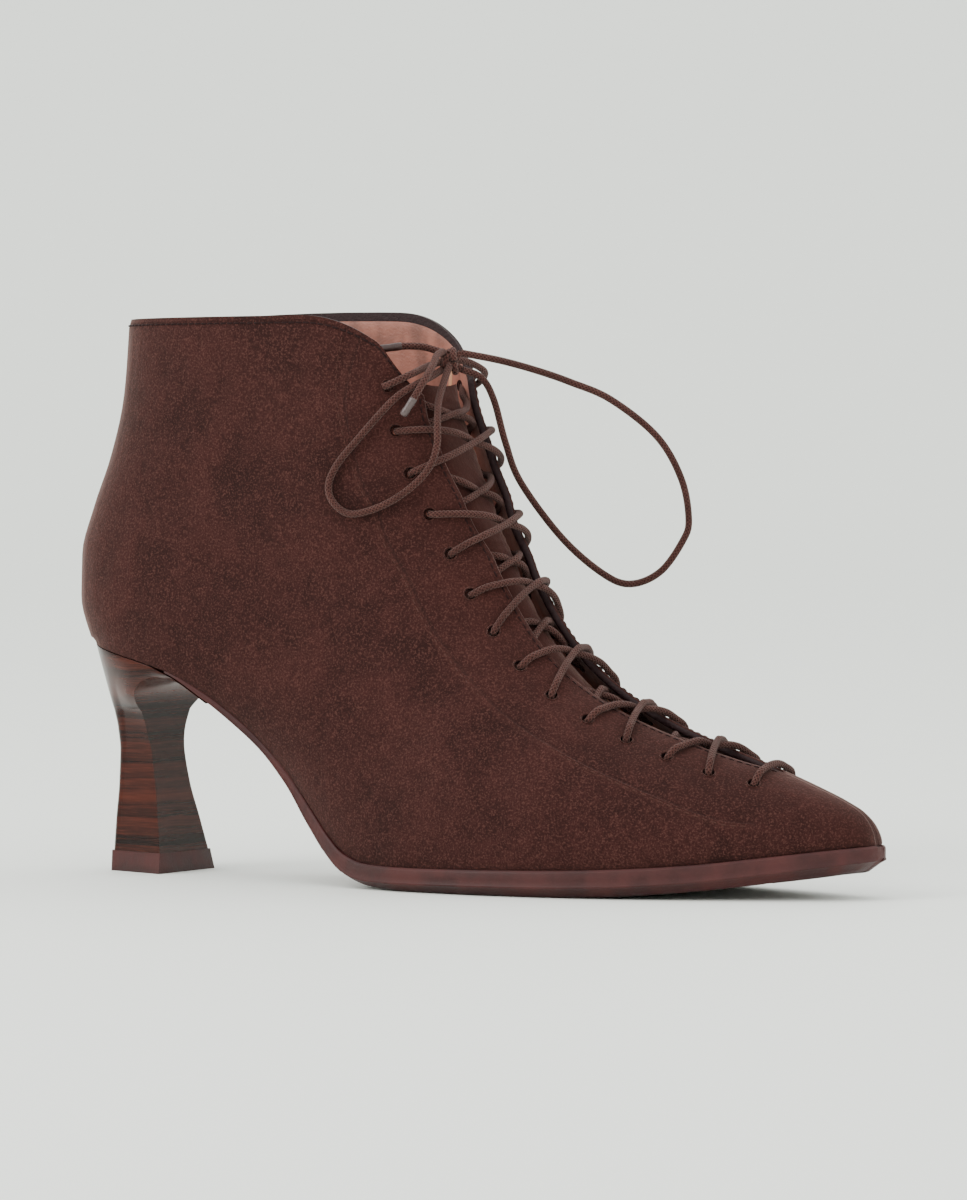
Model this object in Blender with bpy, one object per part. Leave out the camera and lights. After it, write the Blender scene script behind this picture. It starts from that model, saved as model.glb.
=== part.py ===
"""Lace-up ankle boot for the right foot, with a pointed toe and a waisted heel.

Metres, +X to the toe, +Y to the inner (medial) side, +Z up. The boot stands on
z = 0, and the middle of its length and of its sole's width is at the origin.
Tables are in millimetres at the sample size, and the driving sizes grade them.
"""
import math

import bmesh
import bpy
import numpy as np
from mathutils import Matrix, Vector

MM = 0.001

# Driving sizes.
LENGTH = 0.250
BALL_WIDTH = 0.079
HEEL_HEIGHT = 0.066
SHAFT_TOP = 0.1575
WALL = 0.0022
GAP = 0.0003
LACE = 0.0020
LACE_HOLE = 0.0034

# The size at which the tables are drawn.
SAMPLE_LENGTH, SAMPLE_BALL, SAMPLE_HEEL, SAMPLE_TOP = 250.0, 79.0, 66.0, 157.5

# Outsole, heel and insole.
TREAD_START, TREAD_END = -0.004, 0.104
TREAD_PITCH = 0.0095
TREAD_GROOVE = 0.0020
TREAD_DEPTH = 0.0011
GROOVE_DRAFT = 0.0002
INSOLE_THICK = 0.0020
INSOLE_INSET = WALL + 0.0008

TONGUE_THICK = 0.0016

# Lacing. The first pair of holes is tied to the knot, then laces cross under and over by
# turns, and the last pair is joined by a straight bar over the toe end of the throat.
HOLE_PAIRS = 14
HOLE_PITCH = 0.0126
HOLE_FROM_EDGE = 0.0108
FIRST_HOLE_DROP = 0.0075
HOLE_SIDES = 6
HOLE_DEPTH = 0.008
ALONG_STEP, ROW_STEP = 0.01, 0.1
LACE_CLEAR = GAP + 0.0002
OVER_LACE_INSET = -(LACE / 2 + LACE_CLEAR)
UNDER_LACE_INSET = WALL + LACE / 2 + LACE_CLEAR
OVER_SINK = 0.001
OVER_POINTS, UNDER_POINTS = 10, 7
CROSS_ROUND, CORD_ROUND = 1, 2

# Feather line: where the upper's outer face meets the sole, seen from above. Bottom is
# the plane that the foot stands on, tread the sole's lowest face, wall the height of
# the sole's upright side, bevel and ledge how far that side stands out from the tread
# and from the upper.
OUTLINE_COLUMNS = ("x", "lateral", "medial", "bottom", "tread", "wall", "bevel", "ledge")
OUTLINE = (
    (-121.0, 0.0, 0.0, 66.0, 65.7, 0.2, 0.2, 0.0),
    (-85.0, 27.2, 26.9, 58.2, 57.9, 0.2, 0.2, 0.0),
    (-72.0, 25.8, 23.6, 52.1, 50.1, 1.6, 0.4, 0.0),
    (-63.0, 25.0, 21.6, 46.2, 43.7, 2.0, 0.5, 0.1),
    (-54.0, 24.6, 20.4, 39.2, 36.6, 2.1, 0.7, 0.2),
    (-45.0, 25.0, 20.6, 30.7, 27.1, 2.9, 1.0, 0.5),
    (-36.0, 26.6, 22.4, 20.9, 15.2, 4.3, 1.6, 0.9),
    (-29.0, 28.8, 24.8, 13.9, 7.9, 4.4, 2.1, 1.1),
    (-22.0, 31.0, 27.4, 9.0, 2.9, 4.4, 2.5, 1.3),
    (-13.0, 33.8, 30.6, 6.8, 0.7, 4.2, 2.8, 1.4),
    (0.0, 36.7, 34.8, 6.4, 0.0, 4.0, 3.0, 1.4),
    (22.0, 38.1, 37.9, 6.7, 0.0, 4.1, 3.0, 1.4),
    (42.0, 36.4, 36.4, 7.1, 0.0, 4.3, 3.0, 1.4),
    (62.0, 31.8, 32.4, 7.8, 0.6, 4.4, 3.0, 1.4),
    (82.0, 24.6, 26.0, 9.2, 2.2, 4.3, 3.0, 1.4),
    (102.0, 15.4, 18.6, 11.6, 4.6, 4.1, 3.4, 1.4),
    (117.0, 6.9, 11.6, 13.5, 6.5, 3.8, 4.2, 1.3),
    (121.4, 2.6, 9.9, 14.0, 7.1, 3.7, 4.6, 1.2),
    (123.3, -0.2, 8.0, 14.2, 7.4, 3.6, 4.8, 1.1),
    (124.0, -2.5, 5.6, 14.3, 7.5, 3.6, 4.8, 1.0),
)
OVAL_POWER = 2.15

# Sections of the last. Each runs from its foot (on the feather line, then up the
# back seam) to its crest on the front ridge. Full widths are measured from the
# crest's own line, and widest says how far along the section they lie.
STATION_COLUMNS = (
    "foot_x", "foot_z", "crest_x", "crest_z", "crest_y",
    "lateral", "medial", "widest", "back_round", "crest_round", "dip",
)
STATIONS = (
    (124.0, None, 124.0, 14.3, 4.0, 1.5, 1.5, 0.00, 2.0, 2.0, 0.00),
    (123.3, None, 123.3, 17.4, 4.0, 4.4, 4.3, 0.10, 2.0, 2.0, 0.00),
    (121.6, None, 121.9, 20.4, 3.9, 6.9, 6.2, 0.12, 2.0, 2.0, 0.00),
    (118.4, None, 119.0, 23.4, 3.7, 9.7, 7.6, 0.14, 2.0, 2.0, 0.00),
    (113.5, None, 114.0, 26.2, 3.5, 13.3, 9.5, 0.16, 2.0, 1.9, 0.00),
    (105.0, None, 105.0, 30.0, 3.0, 17.8, 14.0, 0.18, 2.0, 1.9, 0.00),
    (92.0, None, 92.0, 35.0, 2.4, 23.5, 20.2, 0.20, 2.0, 1.8, 0.00),
    (74.0, None, 74.5, 41.2, 1.7, 30.6, 27.6, 0.20, 2.0, 1.8, 0.00),
    (54.0, None, 57.0, 48.2, 1.0, 36.0, 34.0, 0.20, 2.0, 1.8, 0.00),
    (34.0, None, 42.5, 56.6, 0.5, 38.9, 37.6, 0.20, 2.0, 1.8, 0.00),
    (14.0, None, 32.5, 65.6, 0.2, 38.9, 37.6, 0.20, 2.0, 1.8, 0.00),
    (-8.0, None, 26.0, 74.0, 0.0, 37.0, 35.4, 0.22, 2.0, 1.9, 0.00),
    (-30.0, None, 21.6, 81.6, 0.0, 33.6, 31.8, 0.25, 2.0, 2.0, 0.00),
    (-52.0, None, 18.6, 87.6, 0.0, 31.0, 29.6, 0.28, 2.1, 2.1, 0.00),
    (-74.0, None, 16.0, 92.6, 0.0, 30.0, 29.0, 0.32, 2.3, 2.3, 0.00),
    (-97.0, None, 13.6, 96.8, 0.0, 29.8, 29.2, 0.36, 2.5, 2.4, 0.00),
    (-113.0, None, 11.6, 100.4, 0.0, 29.6, 29.2, 0.39, 2.7, 2.5, 0.00),
    (-121.0, None, 9.6, 104.0, 0.0, 29.3, 29.1, 0.42, 2.8, 2.7, 0.00),
    (-124.9, 78.0, 7.2, 109.0, 0.0, 29.0, 28.8, 0.46, 2.8, 2.9, 0.00),
    (-125.0, 90.0, 4.4, 115.0, 0.0, 28.5, 28.3, 0.50, 2.8, 2.9, 0.10),
    (-121.4, 104.0, 1.8, 121.4, 0.0, 27.9, 27.7, 0.53, 2.7, 2.9, 0.30),
    (-115.9, 119.0, -0.6, 127.6, 0.0, 27.5, 27.3, 0.56, 2.6, 2.8, 0.60),
    (-111.6, 136.0, -2.6, 133.0, 0.0, 27.2, 27.0, 0.58, 2.6, 2.6, 0.85),
    (-109.6, 157.5, -4.0, 137.0, 0.0, 27.4, 27.2, 0.60, 2.6, 2.5, 1.00),
)
HEEL_ROW = 17        # the row whose foot is the back end of the feather line
TIP_ROW = 0.3        # in front of this row the toe's face keeps its direction
STEPS_PER_ROW = 2
ACROSS_BACK, ACROSS_FRONT = 4, 6
DIP_START, DIP_POWER = 0.66, 2.2
MEDIAL_RISE = 2.2

# The collar drops to the throat: from which share and row, and by how many rows.
DROP_FROM_SHARE, DROP_FROM_ROW, DROP_POWER = 0.88, 19.0, 1.3
COLLAR_DROP = {"lateral": 0.75, "medial": 0.2}

# Half of the throat's opening, by the height of the crest.
THROAT_COLUMNS = ("crest_z", "half")
THROAT = (
    (33.0, 0.0), (36.0, 4.0), (40.0, 6.2), (46.0, 7.6), (54.0, 8.8), (68.0, 9.8),
    (82.0, 10.2), (92.0, 10.8), (100.0, 12.0), (112.0, 13.6), (120.0, 14.2), (137.0, 14.2),
)

# Half of the tongue's width, by row, and how deep its face lies under the last's. Its top
# corners are a few rows lower than its middle, which stands up by the rise.
TONGUE_COLUMNS = ("row", "half", "inset")
TONGUE = (
    (4.6, 7.5, 2.6), (5.2, 8.6, 5.2), (7.0, 12.5, 5.3), (11.0, 15.5, 5.3), (17.0, 17.0, 5.3),
    (23.0, 18.5, 5.4),
)
TONGUE_COLUMNS_ACROSS = 6
TONGUE_ROW_STEP = 0.8
TONGUE_CORNER_DROP = 1.2
TONGUE_RISE = 0.003

# Sections of the lift and of the heel above it, as level rings from the floor up.
# Corner is how deep the round back of a section is.
HEEL_COLUMNS = ("z", "front_x", "front_half", "back_x", "back_half", "corner")
LIFT = (
    (0.0, -95.0, 14.3, -116.9, 8.2, 2.2),
    (5.5, -95.6, 13.0, -116.8, 8.0, 2.2),
)
HEEL = (
    (5.8, -96.0, 12.4, -116.4, 7.5, 2.4),
    (15.0, -97.8, 10.7, -116.2, 6.8, 2.6),
    (25.0, -99.9, 8.9, -115.8, 6.0, 3.0),
    (34.0, -101.4, 8.4, -115.6, 5.9, 3.4),
    (41.0, -102.2, 10.0, -115.9, 7.2, 4.4),
    (46.0, -102.2, 12.4, -116.4, 9.0, 5.6),
)
HEEL_LIP_FRONT = -71.5
HEEL_SQUARE = 0.7
SEAT_FLUSH_X = -0.090
FLANK_STEPS, BREAST_STEPS, FLARE_STEPS = 10, 4, 8
# How much later the flare comes forward, and how much sooner it rises and widens, at
# the breast's edge than at the back.
FLARE_FORWARD, FLARE_RISE, FLARE_WIDEN = 0.65, 0.7, 2.3

# The bow. Routes are points of the lace's middle line, in millimetres at the sample size.
# A tie comes from a first hole, and the loops and ends leave the knot.
KNOT_AT = (-6.9, 0.0, 145.3)
KNOT_SIZE = (6.3, 5.8, 5.4)
ROUTES = {
    "tie_near": ((-14.2, -23.8, 137.8), (-11.3, -22.7, 139.1), (-7.8, -19.0, 141.4),
                 (-8.6, -10.0, 143.5), (-9.8, -2.7, 144.6)),
    "tie_far": ((-14.2, 23.8, 138.4), (-11.2, 22.9, 139.7), (-7.4, 19.4, 142.6),
                (-8.2, 10.0, 145.4), (-9.8, 2.7, 145.0)),
    "loop_near": ((-5.6, -2.9, 143.4), (-4.2, -8.0, 139.2), (-2.2, -14.2, 133.6), (0.2, -18.7, 127.4),
                  (0.8, -20.0, 121.4), (-1.0, -21.6, 115.1), (-6.5, -24.3, 109.0), (-14.0, -26.7, 104.6),
                  (-22.0, -28.4, 102.8), (-27.2, -29.0, 106.0), (-28.8, -28.8, 110.8), (-26.3, -28.2, 116.5),
                  (-20.8, -26.8, 123.1), (-15.2, -25.4, 129.4), (-10.2, -23.2, 135.0), (-6.8, -18.6, 138.4),
                  (-7.4, -10.0, 140.6), (-8.5, -2.2, 142.6)),
    "loop_far": ((-4.4, 2.2, 142.9), (-0.7, 6.6, 140.5), (1.6, 9.4, 134.4), (3.8, 12.0, 122.6),
                 (6.6, 15.6, 111.5), (14.6, 24.6, 96.0), (22.8, 33.0, 86.0), (28.8, 38.6, 82.8),
                 (35.4, 44.2, 86.2), (40.4, 48.4, 95.0), (41.6, 49.6, 101.0), (40.2, 47.8, 112.4),
                 (35.0, 43.0, 124.3), (25.6, 33.4, 134.6), (17.2, 25.0, 139.5), (10.6, 18.4, 142.6),
                 (3.4, 10.2, 145.4), (-4.5, 1.7, 147.5)),
    "end_near": ((-7.6, -2.8, 147.7), (-6.6, -7.6, 146.8), (-4.8, -12.6, 144.2), (-4.0, -17.8, 140.4),
                 (-5.2, -21.0, 135.8)),
    "end_far": ((-9.7, -0.4, 147.7), (-14.2, -2.6, 149.2), (-18.2, -5.4, 149.4)),
}
AGLETS = {
    "aglet_near": ((-5.6, -21.5, 134.7), (-8.4, -23.0, 129.8)),
    "aglet_far": ((-19.0, -6.0, 149.4), (-25.0, -10.4, 148.4)),
}
AGLET = 0.0023
ROUTE_STEP = 0.0055


def long(x):
    """A table's length in metres."""
    return x * LENGTH / SAMPLE_LENGTH


def wide(y):
    """A table's width in metres."""
    return y * BALL_WIDTH / SAMPLE_BALL


def high(z):
    """A table's height in metres: the heel grades what is below the seat."""
    seat = min(z, SAMPLE_HEEL) * HEEL_HEIGHT / SAMPLE_HEEL
    return seat + max(z - SAMPLE_HEEL, 0.0) * (SHAFT_TOP - HEEL_HEIGHT) / (SAMPLE_TOP - SAMPLE_HEEL)


def rows_of(table, columns):
    """Each column of a table as an array."""
    return {name: np.array([row[i] for row in table], dtype=object) for i, name in enumerate(columns)}


def smooth_curve(xs, ys, x):
    """Monotone cubic through (xs, ys), with xs rising; it never overshoots a row."""
    xs, ys = np.asarray(xs, float), np.asarray(ys, float)
    step = np.diff(xs)
    slope = np.diff(ys) / step
    tangent = np.zeros_like(ys)
    tangent[0], tangent[-1] = slope[0], slope[-1]
    for i in range(1, len(xs) - 1):
        if slope[i - 1] * slope[i] > 0:
            near, far = 2 * step[i] + step[i - 1], step[i] + 2 * step[i - 1]
            tangent[i] = (near + far) / (near / slope[i - 1] + far / slope[i])
    x = np.clip(x, xs[0], xs[-1])
    i = np.clip(np.searchsorted(xs, x, side="right") - 1, 0, len(xs) - 2)
    t = (x - xs[i]) / step[i]
    return float((1 + 2 * t) * (1 - t) ** 2 * ys[i] + t * (1 - t) ** 2 * step[i] * tangent[i]
                 + t * t * (3 - 2 * t) * ys[i + 1] + t * t * (t - 1) * step[i] * tangent[i + 1])


OUTLINE_OF = rows_of(OUTLINE, OUTLINE_COLUMNS)
STATION_OF = rows_of(STATIONS, STATION_COLUMNS)
THROAT_OF = rows_of(THROAT, THROAT_COLUMNS)
TONGUE_OF = rows_of(TONGUE, TONGUE_COLUMNS)
BACK_X, OVAL_FROM, TOE_X = long(OUTLINE[0][0]), long(OUTLINE[1][0]), long(OUTLINE[-1][0])


def outline(column, x):
    """A column of the feather line's table at x, in table units."""
    return smooth_curve(OUTLINE_OF["x"], OUTLINE_OF[column], x / long(1.0))


def feather(side, x):
    """How far the feather line stands from y = 0 at x; the heel end is an oval."""
    if x >= OVAL_FROM:
        return wide(outline(side, x))
    reach = min(1.0, (OVAL_FROM - x) / (OVAL_FROM - BACK_X))
    return wide(outline(side, OVAL_FROM)) * (1 - reach ** OVAL_POWER) ** (1 / OVAL_POWER)


def bottom(x):
    """Height of the plane that the foot stands on."""
    return high(outline("bottom", x))


def tread(x):
    """Height of the sole's lowest face."""
    return high(outline("tread", x))


def edge_point(side, x, out=0.0):
    """The feather line's point at x, moved outwards in plan by a distance."""
    sign = -1.0 if side == "lateral" else 1.0
    step = 0.0004
    x0, x1 = max(BACK_X, x - step), min(TOE_X, x + step)
    along = np.array([x1 - x0, sign * (feather(side, x1) - feather(side, x0))])
    normal = np.array([-along[1], along[0]]) * sign / np.linalg.norm(along)
    return np.array([x + normal[0] * out, sign * feather(side, x) + normal[1] * out])


def station(s):
    """The section at s, counted in rows of the table, in metres."""
    rows = np.arange(len(STATIONS))
    values = {}
    for name in STATION_COLUMNS:
        if name != "foot_z":
            values[name] = smooth_curve(rows, STATION_OF[name], s)
    for name in ("foot_x", "crest_x"):
        values[name] = long(values[name])
    for name in ("crest_y", "lateral", "medial"):
        values[name] = wide(values[name])
    values["crest_z"] = high(values["crest_z"])
    if s <= HEEL_ROW:
        values["foot_z"] = bottom(values["foot_x"])
    else:
        back = [OUTLINE[0][3]] + list(STATION_OF["foot_z"][HEEL_ROW + 1:])
        values["foot_z"] = high(smooth_curve(rows[HEEL_ROW:], back, s))
    return values


def throat_half(crest_z):
    """Half of the throat's opening where the crest has this height."""
    return wide(smooth_curve(THROAT_OF["crest_z"], THROAT_OF["half"], crest_z / MM))


def section_width(at, side, along):
    """Distance from the crest's line at a share of the way from foot to crest."""
    full = at[side]
    edge = 0.0
    if at["foot_z"] <= bottom(BACK_X) + 1e-9:
        to_crest = at["crest_y"] if side == "lateral" else -at["crest_y"]
        edge = min(max(feather(side, at["foot_x"]) + to_crest, 0.0), full)
    widest = at["widest"]
    if along < widest:
        power = at["back_round"]
        cut = (1 - (edge / full) ** power) * ((widest - along) / widest) ** power
    else:
        power = at["crest_round"]
        cut = ((along - widest) / (1 - widest)) ** power
    return full * max(0.0, 1 - cut) ** (1 / power)


def last_point(s, side, along):
    """A point of the boot's outer face: row s, side, share from foot to crest."""
    at = station(s)
    fall = 0.0
    if along > DIP_START:
        fall = ((along - DIP_START) / (1 - DIP_START)) ** DIP_POWER
    rise = (1 - at["dip"]) * along + at["dip"] * fall
    x = at["foot_x"] + (at["crest_x"] - at["foot_x"]) * along
    z = at["foot_z"] + (at["crest_z"] - at["foot_z"]) * rise
    width = section_width(at, side, along)
    if side == "medial":
        z += MEDIAL_RISE * MM * at["dip"] * 4 * along * (1 - along)
        return np.array([x, at["crest_y"] + width, z])
    return np.array([x, at["crest_y"] - width, z])


def along_at_width(s, side, width):
    """The share of the way, on the crest's side of the widest place, with this width."""
    at = station(s)
    power, widest = at["crest_round"], at["widest"]
    share = max(0.0, 1 - min(1.0, width / at[side]) ** power) ** (1 / power)
    return widest + (1 - widest) * share


def face_normal(s, side, along):
    """Outward direction of the boot's outer face."""
    top, s = len(STATIONS) - 1, max(TIP_ROW, s)
    s0, s1 = max(TIP_ROW, s - 0.05), min(top, s + 0.05)
    a0, a1 = max(0.0, along - 0.004), min(1.0, along + 0.004)
    across = last_point(s, side, a1) - last_point(s, side, a0)
    forward = last_point(s1, side, along) - last_point(s0, side, along)
    if along > 0.999:
        across = np.array([0.0, 1.0 if side == "lateral" else -1.0, 0.0])
    normal = np.cross(across, forward)
    if side == "medial":
        normal = -normal
    return normal / max(np.linalg.norm(normal), 1e-12)


def offset_point(s, side, along, inset):
    """The same point moved inwards from the outer face, or outwards when negative."""
    return last_point(s, side, along) - face_normal(s, side, along) * inset


def across_point(s, offset_y, inset):
    """A point over or under the throat, at a signed distance from the crest's line."""
    side = "lateral" if offset_y < 0 else "medial"
    return offset_point(s, side, along_at_width(s, side, abs(offset_y)), inset)


def throat_row():
    """The row where the throat opens."""
    s = 3.0
    while station(s)["crest_z"] < high(THROAT[0][0]):
        s += 0.01
    return s


THROAT_ROW = throat_row()


def plain_material(name, colour, roughness):
    """A Principled material with one colour."""
    material = bpy.data.materials.new(name)
    material.use_nodes = True
    shader = material.node_tree.nodes["Principled BSDF"]
    shader.inputs["Base Color"].default_value = (*colour, 1.0)
    shader.inputs["Roughness"].default_value = roughness
    return material


def new_object(name, verts, faces, material, collection):
    """A mesh object with its faces turned outwards and smooth where it is round."""
    mesh = bpy.data.meshes.new(name)
    mesh.from_pydata([tuple(v) for v in verts], [], faces)
    body = bmesh.new()
    body.from_mesh(mesh)
    bmesh.ops.recalc_face_normals(body, faces=body.faces)
    body.to_mesh(mesh)
    body.free()
    mesh.shade_smooth()
    mesh.set_sharp_from_angle(angle=math.radians(40))
    piece = bpy.data.objects.new(name, mesh)
    piece.data.materials.append(material)
    collection.objects.link(piece)
    return piece


def loft(name, rings, material, collection, ladder=False):
    """A closed body through rings with the same number of points, capped at both ends.

    A ladder cap joins each point to the one across the boot, for rings that bend.
    """
    count = len(rings[0])
    verts = [p for ring in rings for p in ring]
    faces = []
    for i in range(len(rings) - 1):
        for j in range(count):
            a, b = i * count + j, i * count + (j + 1) % count
            faces.append((a, b, b + count, a + count))
    for base in (0, (len(rings) - 1) * count):
        if ladder:
            for j in range(count // 2 - 1):
                faces.append((base + j, base + j + 1, base + count - 2 - j, base + count - 1 - j))
        else:
            faces.append(tuple(base + j for j in range(count)))
    return new_object(name, verts, faces, material, collection)


def thicken(name, grids, inner_of, shared, material, collection):
    """A sheet made of grids, each with a second face from inner_of, joined at its rims.

    shared(grid, i, j) names a place that two grids have in common, or None.
    """
    index, outer, inner, faces = {}, [], [], []
    for g, grid in enumerate(grids):
        for i, row in enumerate(grid):
            for j, point in enumerate(row):
                key = shared(g, i, j) or (g, i, j)
                if key not in index:
                    index[key] = len(outer)
                    outer.append(point)
                    inner.append(inner_of(g, i, j))
    for g, grid in enumerate(grids):
        for i in range(len(grid) - 1):
            for j in range(len(grid[0]) - 1):
                corners = [(i, j), (i + 1, j), (i + 1, j + 1), (i, j + 1)]
                face = [index[shared(g, *c) or (g, *c)] for c in corners]
                faces.append(face if g == 0 else face[::-1])
    used = {}
    for face in faces:
        for a, b in zip(face, face[1:] + face[:1]):
            key = (min(a, b), max(a, b))
            used[key] = used.get(key, 0) + 1
    total = len(outer)
    back = [[v + total for v in reversed(face)] for face in faces]
    rims = [[a, b, b + total, a + total] for (a, b), times in used.items() if times == 1]
    return new_object(name, outer + inner, faces + back + rims, material, collection)


def share_steps(at, end_share):
    """Shares from the foot to end_share, closer together where the wall turns."""
    widest = at["widest"]
    steps = [widest * (1 - math.cos(math.pi / 2 * k / ACROSS_BACK)) for k in range(ACROSS_BACK)]
    turn = math.asin(min(1.0, (end_share - widest) / (1 - widest)))
    for k in range(ACROSS_FRONT + 1):
        steps.append(widest + (1 - widest) * math.sin(turn * k / ACROSS_FRONT))
    return steps


def upper_rows():
    """Row values of the upper's grid, with the throat's end among them."""
    rows = [k / STEPS_PER_ROW for k in range((len(STATIONS) - 1) * STEPS_PER_ROW + 1)]
    nearest = min(range(len(rows)), key=lambda k: abs(rows[k] - THROAT_ROW))
    rows[nearest] = THROAT_ROW
    return rows


def collar_row(s, side, along):
    """The row lowered to follow the collar, which drops towards the throat."""
    top = len(STATIONS) - 1
    if s <= DROP_FROM_ROW or along <= DROP_FROM_SHARE:
        return s
    reach = (along - DROP_FROM_SHARE) / (edge_share(top, side) - DROP_FROM_SHARE)
    drop = COLLAR_DROP[side] * reach ** DROP_POWER
    return s - drop * (s - DROP_FROM_ROW) / (top - DROP_FROM_ROW)


def stands():
    """Where the upper's rows stand on the sole, from the back to the toe."""
    return sorted(station(s)["foot_x"] for s in upper_rows() if s <= HEEL_ROW)


STANDS = stands()


def seat_line(x):
    """Height under the upper's lower edge, which runs straight from row to row."""
    return float(np.interp(x, STANDS, [bottom(place) for place in STANDS]))


def edge_share(s, side):
    """How far a section runs towards the crest: all the way, or to the throat's edge."""
    if s <= THROAT_ROW:
        return 1.0
    return along_at_width(s, side, throat_half(station(s)["crest_z"]))


def beside_throat(s, side):
    """The share where the holes lie, at HOLE_FROM_EDGE outwards from the throat's edge."""
    along, run = edge_share(s, side), 0.0
    here = last_point(s, side, along)
    while True:
        ahead = last_point(s, side, along - ALONG_STEP)
        step = np.linalg.norm(ahead - here)
        if run + step >= HOLE_FROM_EDGE:
            return along - ALONG_STEP * (HOLE_FROM_EDGE - run) / step
        along, run, here = along - ALONG_STEP, run + step, ahead


def hole_rows():
    """The row of each pair of holes, from the collar down to the toe."""
    top = len(STATIONS) - 1
    s = collar_row(top, "lateral", beside_throat(top, "lateral"))
    run, rows = 0.0, []
    here = last_point(s, "lateral", beside_throat(s, "lateral"))
    while len(rows) < HOLE_PAIRS:
        due = FIRST_HOLE_DROP + HOLE_PITCH * len(rows)
        ahead = last_point(s - ROW_STEP, "lateral", beside_throat(s - ROW_STEP, "lateral"))
        step = np.linalg.norm(ahead - here)
        if run + step >= due:
            rows.append(s - ROW_STEP * (due - run) / step)
        else:
            s, run, here = s - ROW_STEP, run + step, ahead
    return rows


HOLE_ROWS = hole_rows()
HOLES = [{side: beside_throat(s, side) for side in ("lateral", "medial")} for s in HOLE_ROWS]


def make_hole_cutter(collection):
    """One cylinder through the wall at each hole."""
    mesh = bpy.data.meshes.new("lace_holes")
    body = bmesh.new()
    for s, shares in zip(HOLE_ROWS, HOLES):
        for side, along in shares.items():
            normal = face_normal(s, side, along)
            turn = Vector((0.0, 0.0, 1.0)).rotation_difference(Vector(normal)).to_matrix().to_4x4()
            place = Matrix.Translation(offset_point(s, side, along, WALL / 2) + np.array([0.0, 0.0, GAP]))
            bmesh.ops.create_cone(body, cap_ends=True, segments=HOLE_SIDES, radius1=LACE_HOLE / 2,
                                  radius2=LACE_HOLE / 2, depth=HOLE_DEPTH, matrix=place @ turn)
    body.to_mesh(mesh)
    body.free()
    cutter = bpy.data.objects.new("lace_holes", mesh)
    collection.objects.link(cutter)
    return as_cutter(cutter)


def as_cutter(piece):
    """Marks an object that only cuts or joins another."""
    piece.hide_render = True
    piece.display_type = "WIRE"
    return piece


def combine(piece, other, operation):
    """A Boolean modifier on piece."""
    modifier = piece.modifiers.new(operation.lower(), "BOOLEAN")
    modifier.operation = operation
    modifier.solver = "EXACT"
    modifier.object = other


def make_upper(material, collection):
    """The quarters and toe as one hollow wall, open at collar, throat and underneath."""
    rows = upper_rows()
    sides = ("lateral", "medial")
    shares = {(side, i): share_steps(station(s), edge_share(s, side))
              for side in sides for i, s in enumerate(rows)}
    grids = [[[last_point(collar_row(s, side, a), side, a) for a in shares[side, i]]
              for i, s in enumerate(rows)] for side in sides]
    last_column = ACROSS_BACK + ACROSS_FRONT

    def shared(grid, i, j):
        on_back_seam = j == 0 and rows[i] >= HEEL_ROW
        on_toe_ridge = j == last_column and rows[i] <= THROAT_ROW
        return ("both", i, j) if on_back_seam or on_toe_ridge else None

    def inner_of(grid, i, j):
        s, side = rows[i], sides[grid]
        along = shares[side, i][j]
        normal = face_normal(collar_row(s, side, along), side, along)
        if shared(grid, i, j):
            normal[1] = 0.0
        if j == 0:
            normal[2] = 0.0
        point = grids[grid][i][j] - normal / np.linalg.norm(normal) * WALL
        if s <= HEEL_ROW:
            floor = bottom(point[0])
            point[2] = floor if j == 0 or i == 0 else max(point[2], floor + GAP)
        return point

    upper = thicken("upper", grids, inner_of, shared, material, collection)
    upper.location.z = GAP
    return upper


def sole_stations():
    """Places along the sole as (x, groove depth), with both sides of each groove."""
    seats = [OVAL_FROM] + [x for x in STANDS if OVAL_FROM < x < TREAD_START]
    places = []
    for x, ahead in zip(seats, seats[1:] + [TREAD_START]):
        places += [(x, 0.0), ((x + ahead) / 2, 0.0)]
    groove = TREAD_START
    while groove < TREAD_END:
        for x, depth in ((groove, 0.0), (groove + GROOVE_DRAFT, TREAD_DEPTH),
                         (groove + TREAD_GROOVE, TREAD_DEPTH), (groove + TREAD_GROOVE + GROOVE_DRAFT, 0.0)):
            places.append((x, depth))
        groove += TREAD_PITCH
    for share in (0.35, 0.65, 0.85, 0.95, 1.0):
        places.append((groove + (TOE_X - groove) * share, 0.0))
    return places


def make_outsole(material, collection):
    """The sole: an upright side, a bevel under it and a grooved tread."""
    rings = []
    for x, depth in sole_stations():
        ledge, bevel, wall = (outline(name, x) * MM for name in ("ledge", "bevel", "wall"))
        top, low = seat_line(x), tread(x) + depth
        ring = []
        for side in ("lateral", "medial"):
            outer, inner = edge_point(side, x, ledge), edge_point(side, x, ledge - bevel)
            half_ring = [(*outer, top), (*outer, top - wall), (*inner, low)]
            ring += half_ring if side == "lateral" else half_ring[::-1]
        rings.append(ring)
    return loft("outsole", rings, material, collection)


def make_insole(material, collection):
    """The flat board on the sole, inside the upper."""
    rings = []
    for x in STANDS[1:-1]:
        ring = []
        for side in ("lateral", "medial"):
            place = edge_point(side, x, -INSOLE_INSET)
            low = seat_line(place[0]) + GAP * 2
            pair = [(*place, low), (*place, low + INSOLE_THICK)]
            ring += pair if side == "lateral" else pair[::-1]
        rings.append(ring)
    return loft("insole", rings, material, collection)


def along_path(points, shares):
    """Points at shares of a path's length."""
    points = np.array(points)
    run = np.concatenate([[0.0], np.cumsum(np.linalg.norm(np.diff(points, axis=0), axis=1))])
    return [np.array([np.interp(share * run[-1], run, points[:, k]) for k in (0, 1)]) for share in shares]


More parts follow.
